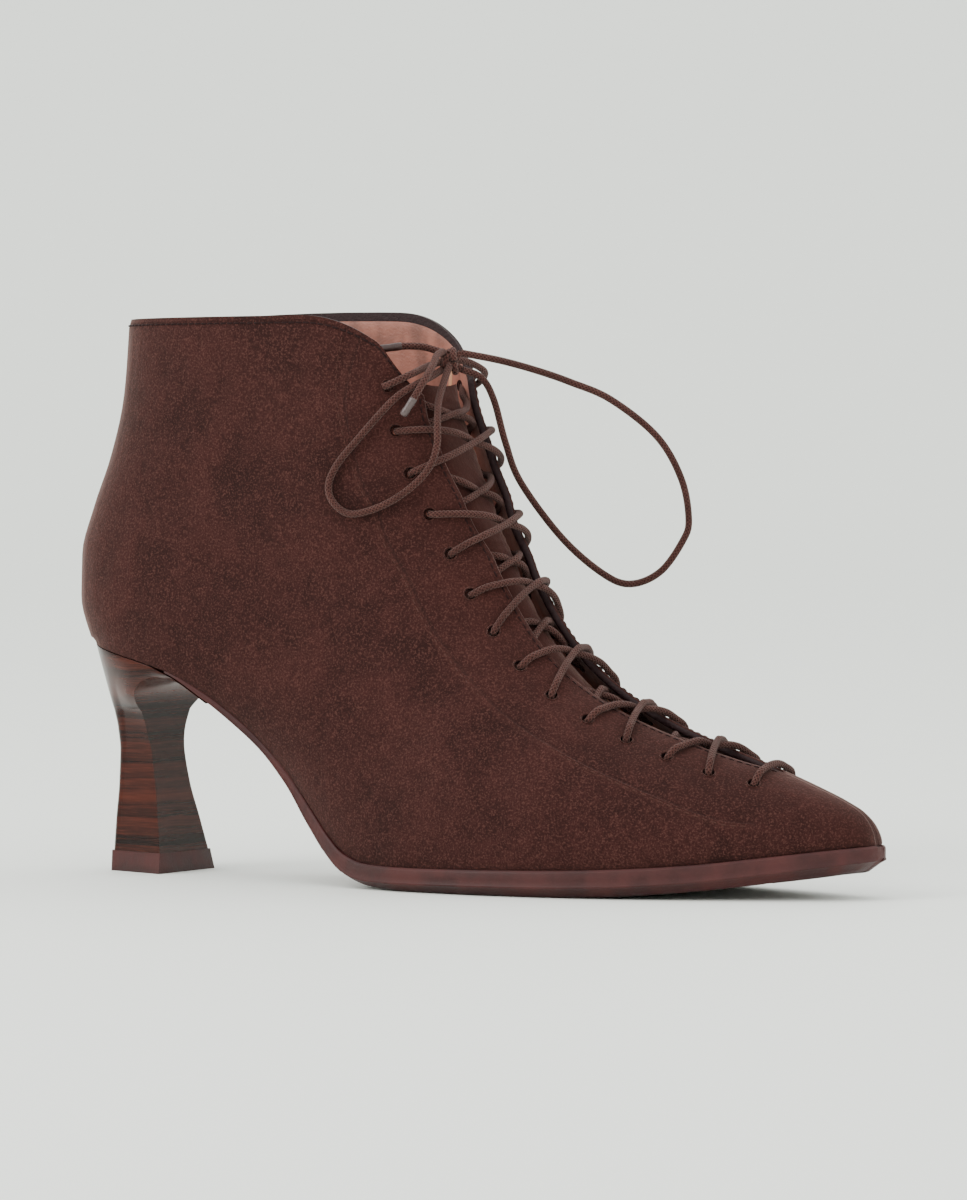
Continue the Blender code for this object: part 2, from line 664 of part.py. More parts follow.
def heel_half_section(row):
    """Half a level section in plan, from the middle of its back to its front corner."""
    _, front_x, front_half, back_x, back_half, corner = row
    turns = np.linspace(0.0, math.pi / 2, 13)
    path = [(back_x + corner * (1 - math.cos(t) ** HEEL_SQUARE), back_half * math.sin(t) ** HEEL_SQUARE)
            for t in turns]
    path.append((front_x, front_half))
    return [(long(x), wide(y)) for x, y in path]


def heel_seat_half(side):
    """Half of the heel's seat in plan, on the feather line up to its thin lip."""
    power = 2 / OVAL_POWER
    path = []
    for turn in np.linspace(0.0, math.pi / 2, 13):
        x = OVAL_FROM - (OVAL_FROM - BACK_X) * max(0.0, math.cos(turn)) ** power
        path.append((x, feather(side, x)))
    for x in np.linspace(OVAL_FROM, long(HEEL_LIP_FRONT), 4)[1:]:
        path.append((float(x), feather(side, float(x))))
    return path


def seat_height(x):
    """Top of the heel: under the upper at the back, and under the sole in front."""
    share = min(1.0, max(0.0, (x - SEAT_FLUSH_X) / (OVAL_FROM - SEAT_FLUSH_X)))
    return seat_line(x) + (tread(x) - GAP * 1.2 - seat_line(x)) * share


def flank_plan(path):
    """A half section's flank in plan, as evenly spaced points."""
    return along_path(path, [(k + 0.35) / (FLANK_STEPS + 0.35) for k in range(FLANK_STEPS + 1)])


def with_breast(flank):
    """A half ring: its flank's points, then its half of the breast, straight across."""
    front_x, front_half, front_z = flank[-1]
    shares = [k / (BREAST_STEPS + 0.5) for k in range(1, BREAST_STEPS + 1)]
    return flank + [(front_x, front_half * (1 - share), front_z) for share in shares]


def full_ring(lateral, medial):
    """A closed ring from its two half flanks, both listed from the back."""
    ring = [(x, -y, z) for x, y, z in with_breast(lateral)]
    return ring + [(x, y, z) for x, y, z in reversed(with_breast(medial))]


def level_flank(row):
    """The flank of a level section, with its height."""
    return [(x, y, high(row[0])) for x, y in flank_plan(heel_half_section(row))]


def flare_flank(low, seat, rise):
    """The flank part of the way from the stem to the seat."""
    flank = []
    for k, ((low_x, low_y, low_z), (seat_x, seat_y)) in enumerate(zip(low, seat)):
        front = (k / FLANK_STEPS) ** 2
        forward = rise ** (1 + FLARE_FORWARD * front)
        up = 1 - (1 - rise) ** (1 + FLARE_RISE * front)
        out = 1 - (1 - rise) ** (1 + FLARE_WIDEN * front)
        x = low_x + (seat_x - low_x) * forward
        flank.append((x, low_y + (seat_y - low_y) * out, low_z + (seat_height(x) - low_z) * up))
    return flank


def make_heel(material, collection):
    """The heel block: a waisted stem that flares up to the seat."""
    rings = [full_ring(level_flank(row), level_flank(row)) for row in HEEL]
    low = level_flank(HEEL[-1])
    seats = [flank_plan(heel_seat_half(side)) for side in ("lateral", "medial")]
    for step in range(1, FLARE_STEPS + 1):
        rings.append(full_ring(*(flare_flank(low, seat, step / FLARE_STEPS) for seat in seats)))
    return loft("heel", rings, material, collection, ladder=True)


def make_heel_lift(material, collection):
    """The rubber lift that the heel stands on."""
    rings = [full_ring(level_flank(row), level_flank(row)) for row in LIFT]
    return loft("heel_lift", rings, material, collection)


def make_tongue(material, collection):
    """The tongue, under the laces from the toe end of the throat to its top."""
    first, top = TONGUE[0][0], len(STATIONS) - 1
    rows = list(np.arange(first, top, TONGUE_ROW_STEP)) + [float(top)]
    faces = {0.0: [], TONGUE_THICK: []}
    for s in rows:
        half = wide(smooth_curve(TONGUE_OF["row"], TONGUE_OF["half"], s))
        inset = smooth_curve(TONGUE_OF["row"], TONGUE_OF["inset"], s) * MM
        spread = [half * (2 * k / TONGUE_COLUMNS_ACROSS - 1) for k in range(TONGUE_COLUMNS_ACROSS + 1)]
        drop = TONGUE_CORNER_DROP * ((s - first) / (top - first)) ** 2
        for depth, grid in faces.items():
            grid.append([across_point(s - drop * (y / half) ** 2, y, inset + depth) for y in spread])
    for grid in faces.values():
        rise = [a - b for a, b in zip(grid[-1], grid[-2])]
        grid.append([a + r / np.linalg.norm(r) * TONGUE_RISE for a, r in zip(grid[-1], rise)])
    rings = [front + back[::-1] for front, back in zip(faces[0.0], faces[TONGUE_THICK])]
    return loft("tongue", rings, material, collection, ladder=True)


def tube(name, points, diameter, roundness, material, collection):
    """A round lace, as a curve through points in metres."""
    curve = bpy.data.curves.new(name, "CURVE")
    curve.dimensions = "3D"
    curve.bevel_depth = diameter / 2
    curve.bevel_resolution = roundness
    curve.use_fill_caps = True
    spline = curve.splines.new("POLY")
    spline.points.add(len(points) - 1)
    for place, point in zip(spline.points, points):
        place.co = (*point, 1.0)
    curve.materials.append(material)
    piece = bpy.data.objects.new(name, curve)
    collection.objects.link(piece)
    return piece


def as_mesh(piece, collection):
    """The curve's tube as a mesh with its caps welded on."""
    bpy.context.view_layer.update()
    evaluated = piece.evaluated_get(bpy.context.evaluated_depsgraph_get())
    mesh = bpy.data.meshes.new_from_object(evaluated)
    body = bmesh.new()
    body.from_mesh(mesh)
    bmesh.ops.remove_doubles(body, verts=body.verts, dist=MM / 100)
    bmesh.ops.recalc_face_normals(body, faces=body.faces)
    body.to_mesh(mesh)
    body.free()
    name, place = piece.name, piece.matrix_world.copy()
    bpy.data.objects.remove(piece, do_unlink=True)
    solid = bpy.data.objects.new(name, mesh)
    solid.matrix_world = place
    collection.objects.link(solid)
    return solid


def lace_path(start, end, inset, sink, count):
    """Points of a lace from one hole to another, each a pair and side, at a depth."""
    ends = []
    for pair, side in (start, end):
        s = HOLE_ROWS[pair]
        width = section_width(station(s), side, HOLES[pair][side])
        ends.append((s, width if side == "medial" else -width))
    path = []
    for t in np.linspace(0.0, 1.0, count):
        s, y = (a + (b - a) * t for a, b in zip(*ends))
        half = throat_half(station(s)["crest_z"])
        bridge = max(0.0, 1 - (y / half) ** 2) if half > 0 else 0.0
        path.append(across_point(s, y, inset + sink * bridge))
    return [point + np.array([0.0, 0.0, GAP]) for point in path]


def make_crossings(material, collection, hidden):
    """Laces crossing over and under the quarters by turns, each pair joined as one."""
    for pair in range(HOLE_PAIRS - 1):
        over = pair % 2 == 1
        name = f"over_cross_{(pair + 1) // 2}" if over else f"under_cross_{pair // 2 + 1}"
        lie = (OVER_LACE_INSET, OVER_SINK, OVER_POINTS) if over else (UNDER_LACE_INSET, 0.0, UNDER_POINTS)
        strands = []
        for side, across in (("lateral", "medial"), ("medial", "lateral")):
            path = lace_path((pair, side), (pair + 1, across), *lie)
            strand = tube(f"{name}_{side}", path, LACE, CROSS_ROUND, material, collection)
            strands.append(as_mesh(strand, hidden if strands else collection))
        strands[0].name = name
        combine(strands[0], as_cutter(strands[1]), "UNION")
    last = HOLE_PAIRS - 1
    path = lace_path((last, "lateral"), (last, "medial"), OVER_LACE_INSET, 0.0, OVER_POINTS)
    tube("toe_bar", path, LACE, CROSS_ROUND, material, collection)


def graded(point):
    """A route's point in metres."""
    return np.array([long(point[0]), wide(point[1]), high(point[2])])


def along_route(route):
    """Evenly spaced points on a smooth curve through a route's own points."""
    own = np.array([graded(point) for point in route])
    ends = np.array([2 * own[0] - own[1], *own, 2 * own[-1] - own[-2]])
    dense = []
    for a, b, c, d in zip(ends, ends[1:], ends[2:], ends[3:]):
        for t in np.linspace(0.0, 1.0, 12, endpoint=False):
            dense.append(0.5 * (2 * b + (c - a) * t + (2 * a - 5 * b + 4 * c - d) * t ** 2
                                + (3 * b - a - 3 * c + d) * t ** 3))
    dense = np.array([*dense, own[-1]])
    run = np.concatenate([[0.0], np.cumsum(np.linalg.norm(np.diff(dense, axis=0), axis=1))])
    marks = np.linspace(0.0, run[-1], max(2, round(run[-1] / ROUTE_STEP)) + 1)
    return np.stack([np.interp(marks, run, dense[:, k]) for k in range(3)], axis=1)


def make_bow(lace, tip, collection):
    """The knot, its two ties, two loops and two ends with their aglets."""
    bpy.ops.mesh.primitive_uv_sphere_add(segments=12, ring_count=8, radius=0.5, location=graded(KNOT_AT))
    knot = bpy.context.active_object
    knot.name = "knot"
    for vertex in knot.data.vertices:
        vertex.co = [value * size * MM for value, size in zip(vertex.co, KNOT_SIZE)]
    knot.data.materials.append(lace)
    for home in list(knot.users_collection):
        home.objects.unlink(knot)
    collection.objects.link(knot)
    for name, route in ROUTES.items():
        tube(name, along_route(route), LACE, CORD_ROUND, lace, collection)
    for name, route in AGLETS.items():
        tube(name, [graded(point) for point in route], AGLET, CORD_ROUND, tip, collection)


def clear_scene():
    """Start from an empty file."""
    for piece in list(bpy.data.objects):
        bpy.data.objects.remove(piece, do_unlink=True)


def main():
    """Build every piece of the boot in its own collection."""
    clear_scene()
    boot = bpy.data.collections.new("ankle_boot")
    bpy.context.scene.collection.children.link(boot)
    suede = plain_material("brown_suede", (0.075, 0.022, 0.018), 0.9)
    rubber = plain_material("burgundy_rubber", (0.11, 0.032, 0.035), 0.5)
    horn = plain_material("striped_heel", (0.035, 0.009, 0.006), 0.15)
    board = plain_material("insole_leather", (0.43, 0.17, 0.1), 0.6)
    lace = plain_material("round_lace", (0.11, 0.045, 0.042), 0.85)
    tip = plain_material("aglet_plastic", (0.05, 0.02, 0.018), 0.25)
    hidden = bpy.data.collections.new("cutters")
    bpy.context.scene.collection.children.link(hidden)
    upper = make_upper(suede, boot)
    combine(upper, make_hole_cutter(hidden), "DIFFERENCE")
    make_outsole(rubber, boot)
    make_heel(horn, boot)
    make_heel_lift(rubber, boot)
    make_tongue(suede, boot)
    make_insole(board, boot)
    make_crossings(lace, boot, hidden)
    make_bow(lace, tip, boot)


main()
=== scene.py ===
"""Looks of the lace-up ankle boot: suede, lining, laces, rubber sole and striped heel.

Metres, +X to the toe, +Y to the inner (medial) side, +Z up. Tables are in millimetres.
"""

import bisect
import collections
import functools
import itertools
import math

import bmesh
import bpy
import numpy as np
from mathutils import Matrix, Vector


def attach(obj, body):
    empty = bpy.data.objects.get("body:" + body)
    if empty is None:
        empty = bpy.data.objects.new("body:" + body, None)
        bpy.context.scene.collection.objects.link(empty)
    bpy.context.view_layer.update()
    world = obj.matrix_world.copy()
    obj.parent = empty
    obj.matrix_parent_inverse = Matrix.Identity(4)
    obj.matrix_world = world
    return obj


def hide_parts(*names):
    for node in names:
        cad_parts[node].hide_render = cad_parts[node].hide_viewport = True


MM = 0.001
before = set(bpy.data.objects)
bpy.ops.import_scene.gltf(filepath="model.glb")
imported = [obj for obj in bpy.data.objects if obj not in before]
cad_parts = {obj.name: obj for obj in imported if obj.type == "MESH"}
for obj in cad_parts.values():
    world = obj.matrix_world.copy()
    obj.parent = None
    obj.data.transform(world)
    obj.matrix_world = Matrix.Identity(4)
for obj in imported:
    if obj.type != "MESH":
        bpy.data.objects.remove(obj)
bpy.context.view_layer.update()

WALL = 0.0022
GAP = 0.0003
LACE = 0.0020
LACE_HOLE = 0.0034
AGLET = 0.0023
SIDES = ("lateral", "medial")
SIGN = {"lateral": -1.0, "medial": 1.0}
ACROSS = {"lateral": "medial", "medial": "lateral"}

# The boot's form, in the part's own tables.
OUTLINE_COLUMNS = ("x", "lateral", "medial", "bottom", "tread", "wall", "bevel", "ledge")
OUTLINE = (
    (-121.0, 0.0, 0.0, 66.0, 65.7, 0.2, 0.2, 0.0),
    (-85.0, 27.2, 26.9, 58.2, 57.9, 0.2, 0.2, 0.0),
    (-72.0, 25.8, 23.6, 52.1, 50.1, 1.6, 0.4, 0.0),
    (-63.0, 25.0, 21.6, 46.2, 43.7, 2.0, 0.5, 0.1),
    (-54.0, 24.6, 20.4, 39.2, 36.6, 2.1, 0.7, 0.2),
    (-45.0, 25.0, 20.6, 30.7, 27.1, 2.9, 1.0, 0.5),
    (-36.0, 26.6, 22.4, 20.9, 15.2, 4.3, 1.6, 0.9),
    (-29.0, 28.8, 24.8, 13.9, 7.9, 4.4, 2.1, 1.1),
    (-22.0, 31.0, 27.4, 9.0, 2.9, 4.4, 2.5, 1.3),
    (-13.0, 33.8, 30.6, 6.8, 0.7, 4.2, 2.8, 1.4),
    (0.0, 36.7, 34.8, 6.4, 0.0, 4.0, 3.0, 1.4),
    (22.0, 38.1, 37.9, 6.7, 0.0, 4.1, 3.0, 1.4),
    (42.0, 36.4, 36.4, 7.1, 0.0, 4.3, 3.0, 1.4),
    (62.0, 31.8, 32.4, 7.8, 0.6, 4.4, 3.0, 1.4),
    (82.0, 24.6, 26.0, 9.2, 2.2, 4.3, 3.0, 1.4),
    (102.0, 15.4, 18.6, 11.6, 4.6, 4.1, 3.4, 1.4),
    (117.0, 6.9, 11.6, 13.5, 6.5, 3.8, 4.2, 1.3),
    (121.4, 2.6, 9.9, 14.0, 7.1, 3.7, 4.6, 1.2),
    (123.3, -0.2, 8.0, 14.2, 7.4, 3.6, 4.8, 1.1),
    (124.0, -2.5, 5.6, 14.3, 7.5, 3.6, 4.8, 1.0),
)
OVAL_POWER = 2.15
STATION_COLUMNS = (
    "foot_x", "crest_x", "crest_z", "crest_y",
    "lateral", "medial", "widest", "back_round", "crest_round", "dip",
)
STATIONS = (
    (124.0, 124.0, 14.3, 4.0, 1.5, 1.5, 0.00, 2.0, 2.0, 0.00),
    (123.3, 123.3, 17.4, 4.0, 4.4, 4.3, 0.10, 2.0, 2.0, 0.00),
    (121.6, 121.9, 20.4, 3.9, 6.9, 6.2, 0.12, 2.0, 2.0, 0.00),
    (118.4, 119.0, 23.4, 3.7, 9.7, 7.6, 0.14, 2.0, 2.0, 0.00),
    (113.5, 114.0, 26.2, 3.5, 13.3, 9.5, 0.16, 2.0, 1.9, 0.00),
    (105.0, 105.0, 30.0, 3.0, 17.8, 14.0, 0.18, 2.0, 1.9, 0.00),
    (92.0, 92.0, 35.0, 2.4, 23.5, 20.2, 0.20, 2.0, 1.8, 0.00),
    (74.0, 74.5, 41.2, 1.7, 30.6, 27.6, 0.20, 2.0, 1.8, 0.00),
    (54.0, 57.0, 48.2, 1.0, 36.0, 34.0, 0.20, 2.0, 1.8, 0.00),
    (34.0, 42.5, 56.6, 0.5, 38.9, 37.6, 0.20, 2.0, 1.8, 0.00),
    (14.0, 32.5, 65.6, 0.2, 38.9, 37.6, 0.20, 2.0, 1.8, 0.00),
    (-8.0, 26.0, 74.0, 0.0, 37.0, 35.4, 0.22, 2.0, 1.9, 0.00),
    (-30.0, 21.6, 81.6, 0.0, 33.6, 31.8, 0.25, 2.0, 2.0, 0.00),
    (-52.0, 18.6, 87.6, 0.0, 31.0, 29.6, 0.28, 2.1, 2.1, 0.00),
    (-74.0, 16.0, 92.6, 0.0, 30.0, 29.0, 0.32, 2.3, 2.3, 0.00),
    (-97.0, 13.6, 96.8, 0.0, 29.8, 29.2, 0.36, 2.5, 2.4, 0.00),
    (-113.0, 11.6, 100.4, 0.0, 29.6, 29.2, 0.39, 2.7, 2.5, 0.00),
    (-121.0, 9.6, 104.0, 0.0, 29.3, 29.1, 0.42, 2.8, 2.7, 0.00),
    (-124.9, 7.2, 109.0, 0.0, 29.0, 28.8, 0.46, 2.8, 2.9, 0.00),
    (-125.0, 4.4, 115.0, 0.0, 28.5, 28.3, 0.50, 2.8, 2.9, 0.10),
    (-121.4, 1.8, 121.4, 0.0, 27.9, 27.7, 0.53, 2.7, 2.9, 0.30),
    (-115.9, -0.6, 127.6, 0.0, 27.5, 27.3, 0.56, 2.6, 2.8, 0.60),
    (-111.6, -2.6, 133.0, 0.0, 27.2, 27.0, 0.58, 2.6, 2.6, 0.85),
    (-109.6, -4.0, 137.0, 0.0, 27.4, 27.2, 0.60, 2.6, 2.5, 1.00),
)
TOP_ROW = len(STATIONS) - 1

# From this row up the sections end at the back line, at these heights.
HEEL_ROW = 17
BACK_HEIGHTS = (66.0, 78.0, 90.0, 104.0, 119.0, 136.0, 157.5)

# Steps to both sides of a point, for its outward direction.
TIP_ROW, NEAR_ROWS, NEAR_SHARE = 0.3, 0.05, 0.004

# How the collar dips, and how it drops towards the throat.
DIP_START, DIP_POWER = 0.66, 2.2
MEDIAL_RISE = 2.2 * MM
DROP_FROM_SHARE, DROP_FROM_ROW, DROP_POWER = 0.88, 19.0, 1.3
COLLAR_DROP = {"lateral": 0.75, "medial": 0.2}

# Half the throat's width at heights of its edge; the tongue's half width and inset at rows.
THROAT = (
    (33.0, 0.0), (36.0, 4.0), (40.0, 6.2), (46.0, 7.6), (54.0, 8.8), (68.0, 9.8),
    (82.0, 10.2), (92.0, 10.8), (100.0, 12.0), (112.0, 13.6), (120.0, 14.2), (137.0, 14.2),
)
TONGUE = (
    (4.6, 7.5, 2.6), (5.2, 8.6, 5.2), (7.0, 12.5, 5.3), (11.0, 15.5, 5.3), (17.0, 17.0, 5.3),
    (23.0, 18.5, 5.4),
)
TONGUE_THICK = 0.0016
TONGUE_CORNER_DROP = 1.2
TONGUE_RISE, TONGUE_WAVE = 0.003, 0.00012
TONGUE_ROWS, TONGUE_COLUMNS = 110, 33

# Level sections: height, front x, front half width, back x, back half width, corner.
LIFT = (
    (0.0, -95.0, 14.3, -116.9, 8.2, 2.2),
    (5.5, -95.6, 13.0, -116.8, 8.0, 2.2),
)
HEEL = (
    (5.8, -96.0, 12.4, -116.4, 7.5, 2.4),
    (15.0, -97.8, 10.7, -116.2, 6.8, 2.6),
    (25.0, -99.9, 8.9, -115.8, 6.0, 3.0),
    (34.0, -101.4, 8.4, -115.6, 5.9, 3.4),
    (41.0, -102.2, 10.0, -115.9, 7.2, 4.4),
    (46.0, -102.2, 12.4, -116.4, 9.0, 5.6),
)
HEEL_LIP_FRONT = -71.5 * MM
HEEL_SQUARE = 0.7
SEAT_FLUSH_X = -0.090
FLARE_FORWARD, FLARE_RISE, FLARE_WIDEN = 0.65, 0.7, 2.3

# Grooves of the tread.
TREAD_START, TREAD_END = -0.004, 0.104
TREAD_PITCH, TREAD_GROOVE, TREAD_DEPTH = 0.0095, 0.0020, 0.0011
SOLE_STEP, SOLE_SOFT = 0.002, 0.0005

# Lacing, and the routes of the bow, repeated from the part.
HOLE_PAIRS = 14
HOLE_PITCH, HOLE_FROM_EDGE, FIRST_HOLE_DROP = 0.0126, 0.0108, 0.0075
OVER_INSET, UNDER_INSET = -0.0012, 0.0035
OVER_SINK = 0.001
CROSS_LIFT, CROSS_SPREAD = 0.0009, 0.09
LACE_STEP, KNOT_STEP, TIE_STEP = 0.0008, 0.0007, 0.002
KNOT_AT = (-6.9, 0.0, 145.3)
ROUTES = {
    "tie_near": ((-14.2, -23.8, 137.8), (-11.3, -22.7, 139.1), (-7.8, -19.0, 141.4),
                 (-8.6, -10.0, 143.5), (-9.8, -2.7, 144.6)),
    "tie_far": ((-14.2, 23.8, 138.4), (-11.2, 22.9, 139.7), (-7.4, 19.4, 142.6),
                (-8.2, 10.0, 145.4), (-9.8, 2.7, 145.0)),
    "loop_near": ((-5.6, -2.9, 143.4), (-4.2, -8.0, 139.2), (-2.2, -14.2, 133.6), (0.2, -18.7, 127.4),
                  (0.8, -20.0, 121.4), (-1.0, -21.6, 115.1), (-6.5, -24.3, 109.0), (-14.0, -26.7, 104.6),
                  (-22.0, -28.4, 102.8), (-27.2, -29.0, 106.0), (-28.8, -28.8, 110.8), (-26.3, -28.2, 116.5),
                  (-20.8, -26.8, 123.1), (-15.2, -25.4, 129.4), (-10.2, -23.2, 135.0), (-6.8, -18.6, 138.4),
                  (-7.4, -10.0, 140.6), (-8.5, -2.2, 142.6)),
    "loop_far": ((-4.4, 2.2, 142.9), (-0.7, 6.6, 140.5), (1.6, 9.4, 134.4), (3.8, 12.0, 122.6),
                 (6.6, 15.6, 111.5), (14.6, 24.6, 96.0), (22.8, 33.0, 86.0), (28.8, 38.6, 82.8),
                 (35.4, 44.2, 86.2), (40.4, 48.4, 95.0), (41.6, 49.6, 101.0), (40.2, 47.8, 112.4),
                 (35.0, 43.0, 124.3), (25.6, 33.4, 134.6), (17.2, 25.0, 139.5), (10.6, 18.4, 142.6),
                 (3.4, 10.2, 145.4), (-4.5, 1.7, 147.5)),
    "end_near": ((-7.6, -2.8, 147.7), (-6.6, -7.6, 146.8), (-4.8, -12.6, 144.2), (-4.0, -17.8, 140.4),
                 (-5.2, -21.0, 135.8)),
    "end_far": ((-9.7, -0.4, 147.7), (-14.2, -2.6, 149.2), (-18.2, -5.4, 149.4)),
}
AGLETS = {
    "aglet_near": ((-5.6, -21.5, 134.7), (-8.4, -23.0, 129.8)),
    "aglet_far": ((-19.0, -6.0, 149.4), (-25.0, -10.4, 148.4)),
}


class Curve:
    """Monotone cubic through points with rising x, in metres; it never overshoots one."""

    def __init__(self, xs, ys, x_unit=MM, y_unit=MM):
        self.xs = [float(x) * x_unit for x in xs]
        self.ys = [float(y) * y_unit for y in ys]
        self.steps = [b - a for a, b in zip(self.xs, self.xs[1:])]
        slopes = [(b - a) / step for a, b, step in zip(self.ys, self.ys[1:], self.steps)]
        self.tangents = [slopes[0]]
        for i in range(1, len(self.xs) - 1):
            before, after = slopes[i - 1], slopes[i]
            tangent = 0.0
            if before * after > 0:
                near = 2 * self.steps[i] + self.steps[i - 1]
                far = self.steps[i] + 2 * self.steps[i - 1]
                tangent = (near + far) / (near / before + far / after)
            self.tangents.append(tangent)
        self.tangents.append(slopes[-1])

    def __call__(self, x):
        x = min(max(x, self.xs[0]), self.xs[-1])
        i = min(max(bisect.bisect_right(self.xs, x) - 1, 0), len(self.xs) - 2)
        step = self.steps[i]
        t = (x - self.xs[i]) / step
        return ((1 + 2 * t) * (1 - t) ** 2 * self.ys[i] + t * (1 - t) ** 2 * step * self.tangents[i]
                + t * t * (3 - 2 * t) * self.ys[i + 1] + t * t * (t - 1) * step * self.tangents[i + 1])


def column(table, index):
    """One column of a table."""
    return [row[index] for row in table]


OUTLINE_OF = {name: Curve(column(OUTLINE, 0), column(OUTLINE, i)) for i, name in enumerate(OUTLINE_COLUMNS)}
RATIOS = ("widest", "back_round", "crest_round", "dip")
STATION_OF = {
    name: Curve(range(len(STATIONS)), column(STATIONS, i), 1.0, 1.0 if name in RATIOS else MM)
    for i, name in enumerate(STATION_COLUMNS)
}
BACK_FOOT = Curve(range(HEEL_ROW, TOP_ROW + 1), BACK_HEIGHTS, 1.0)
THROAT_HALF = Curve(column(THROAT, 0), column(THROAT, 1))
TONGUE_HALF = Curve(column(TONGUE, 0), column(TONGUE, 1), 1.0)
TONGUE_INSET = Curve(column(TONGUE, 0), column(TONGUE, 2), 1.0)
BACK_X, OVAL_FROM, TOE_X = OUTLINE[0][0] * MM, OUTLINE[1][0] * MM, OUTLINE[-1][0] * MM


def feather(side, x):
    """How far the feather line stands from y = 0 at x; the heel end is an oval."""
    if x >= OVAL_FROM:
        return OUTLINE_OF[side](x)
    reach = min(1.0, (OVAL_FROM - x) / (OVAL_FROM - BACK_X))
    return OUTLINE_OF[side](OVAL_FROM) * (1 - reach ** OVAL_POWER) ** (1 / OVAL_POWER)


def edge_point(side, x, out=0.0):
    """The feather line's point at x, moved outwards in plan."""
    sign = SIGN[side]
    step = 0.0004
    x0, x1 = max(BACK_X, x - step), min(TOE_X, x + step)
    along = np.array([x1 - x0, sign * (feather(side, x1) - feather(side, x0))])
    normal = np.array([-along[1], along[0]]) * sign / np.linalg.norm(along)
    return np.array([x + normal[0] * out, sign * feather(side, x) + normal[1] * out])


@functools.lru_cache(maxsize=None)
def station(s):
    """The section at s, counted in rows of the table."""
    values = {name: curve(s) for name, curve in STATION_OF.items()}
    values["foot_z"] = OUTLINE_OF["bottom"](values["foot_x"]) if s <= HEEL_ROW else BACK_FOOT(s)
    for side, to_crest in (("lateral", values["crest_y"]), ("medial", -values["crest_y"])):
        foot = feather(side, values["foot_x"]) + to_crest if s <= HEEL_ROW else 0.0
        values["foot_" + side] = min(max(foot, 0.0), values[side])
    return values


def section_width(at, side, along):
    """Distance from the crest's line at a share of the way from foot to crest."""
    full, widest = at[side], at["widest"]
    if along < widest:
        power = at["back_round"]
        cut = (1 - (at["foot_" + side] / full) ** power) * ((widest - along) / widest) ** power
    else:
        power = at["crest_round"]
        cut = ((along - widest) / (1 - widest)) ** power
    return full * max(0.0, 1 - cut) ** (1 / power)


def last_point(s, side, along):
    """A point of the boot's outer face: row s, side, share from foot to crest."""
    at = station(s)
    fall = ((along - DIP_START) / (1 - DIP_START)) ** DIP_POWER if along > DIP_START else 0.0
    rise = (1 - at["dip"]) * along + at["dip"] * fall
    x = at["foot_x"] + (at["crest_x"] - at["foot_x"]) * along
    z = at["foot_z"] + (at["crest_z"] - at["foot_z"]) * rise + GAP
    if side == "medial":
        z += MEDIAL_RISE * at["dip"] * 4 * along * (1 - along)
    return np.array([x, at["crest_y"] + SIGN[side] * section_width(at, side, along), z])


def along_at_width(s, side, width):
    """The share of the way, on the crest's side of the widest place, with this width."""
    at = station(s)
    power, widest = at["crest_round"], at["widest"]
    share = max(0.0, 1 - min(1.0, width / at[side]) ** power) ** (1 / power)
    return widest + (1 - widest) * share


def face_normal(s, side, along):
    """Outward direction of the boot's outer face."""
    s = max(TIP_ROW, s)
    s0, s1 = max(TIP_ROW, s - NEAR_ROWS), min(TOP_ROW, s + NEAR_ROWS)
    a0, a1 = max(0.0, along - NEAR_SHARE), min(1.0, along + NEAR_SHARE)
    across = last_point(s, side, a1) - last_point(s, side, a0)
    forward = last_point(s1, side, along) - last_point(s0, side, along)
    if along > 0.999:
        across = np.array([0.0, -SIGN[side], 0.0])
    normal = np.cross(across, forward) * -SIGN[side]
    return normal / max(np.linalg.norm(normal), 1e-12)


def offset_point(s, side, along, inset):
    """The same point moved inwards from the outer face, or outwards when negative."""
    return last_point(s, side, along) - face_normal(s, side, along) * inset


def across_point(s, offset_y, inset):
    """A point over or under the throat, at a signed distance from the crest's line."""
    side = "lateral" if offset_y < 0 else "medial"
    return offset_point(s, side, along_at_width(s, side, abs(offset_y)), inset)


def throat_row():
    """The row where the throat opens."""
    s = 3.0
    while station(s)["crest_z"] < THROAT[0][0] * MM:
        s += 0.01
    return s


THROAT_ROW = throat_row()


def edge_share(s, side):
    """How far a section runs towards the crest: all the way, or to the throat's edge."""
    if s <= THROAT_ROW:
        return 1.0
    return along_at_width(s, side, THROAT_HALF(station(s)["crest_z"]))


def collar_row(s, side, along):
    """The row lowered to follow the collar, which drops towards the throat."""
    if s <= DROP_FROM_ROW or along <= DROP_FROM_SHARE:
        return s
    reach = (along - DROP_FROM_SHARE) / (edge_share(TOP_ROW, side) - DROP_FROM_SHARE)
    drop = COLLAR_DROP[side] * max(0.0, reach) ** DROP_POWER
    return s - drop * (s - DROP_FROM_ROW) / (TOP_ROW - DROP_FROM_ROW)


def beside_throat(s, side, distance=HOLE_FROM_EDGE, step=0.01):
    """The share at a distance outwards from the throat's edge."""
    along, run = edge_share(s, side), 0.0
    here = last_point(s, side, along)
    while along > step:
        ahead = last_point(s, side, along - step)
        length = np.linalg.norm(ahead - here)
        if run + length >= distance:
            return along - step * (distance - run) / length
        along, run, here = along - step, run + length, ahead
    return along


def hole_rows():
    """The row of each pair of holes, from the collar down to the toe."""
    step = 0.1
    s = collar_row(TOP_ROW, "lateral", beside_throat(TOP_ROW, "lateral"))
    run, rows = 0.0, []
    here = last_point(s, "lateral", beside_throat(s, "lateral"))
    while len(rows) < HOLE_PAIRS:
        due = FIRST_HOLE_DROP + HOLE_PITCH * len(rows)
        ahead = last_point(s - step, "lateral", beside_throat(s - step, "lateral"))
        length = np.linalg.norm(ahead - here)
        if run + length >= due:
            rows.append(s - step * (due - run) / length)
        else:
            s, run, here = s - step, run + length, ahead
    return rows


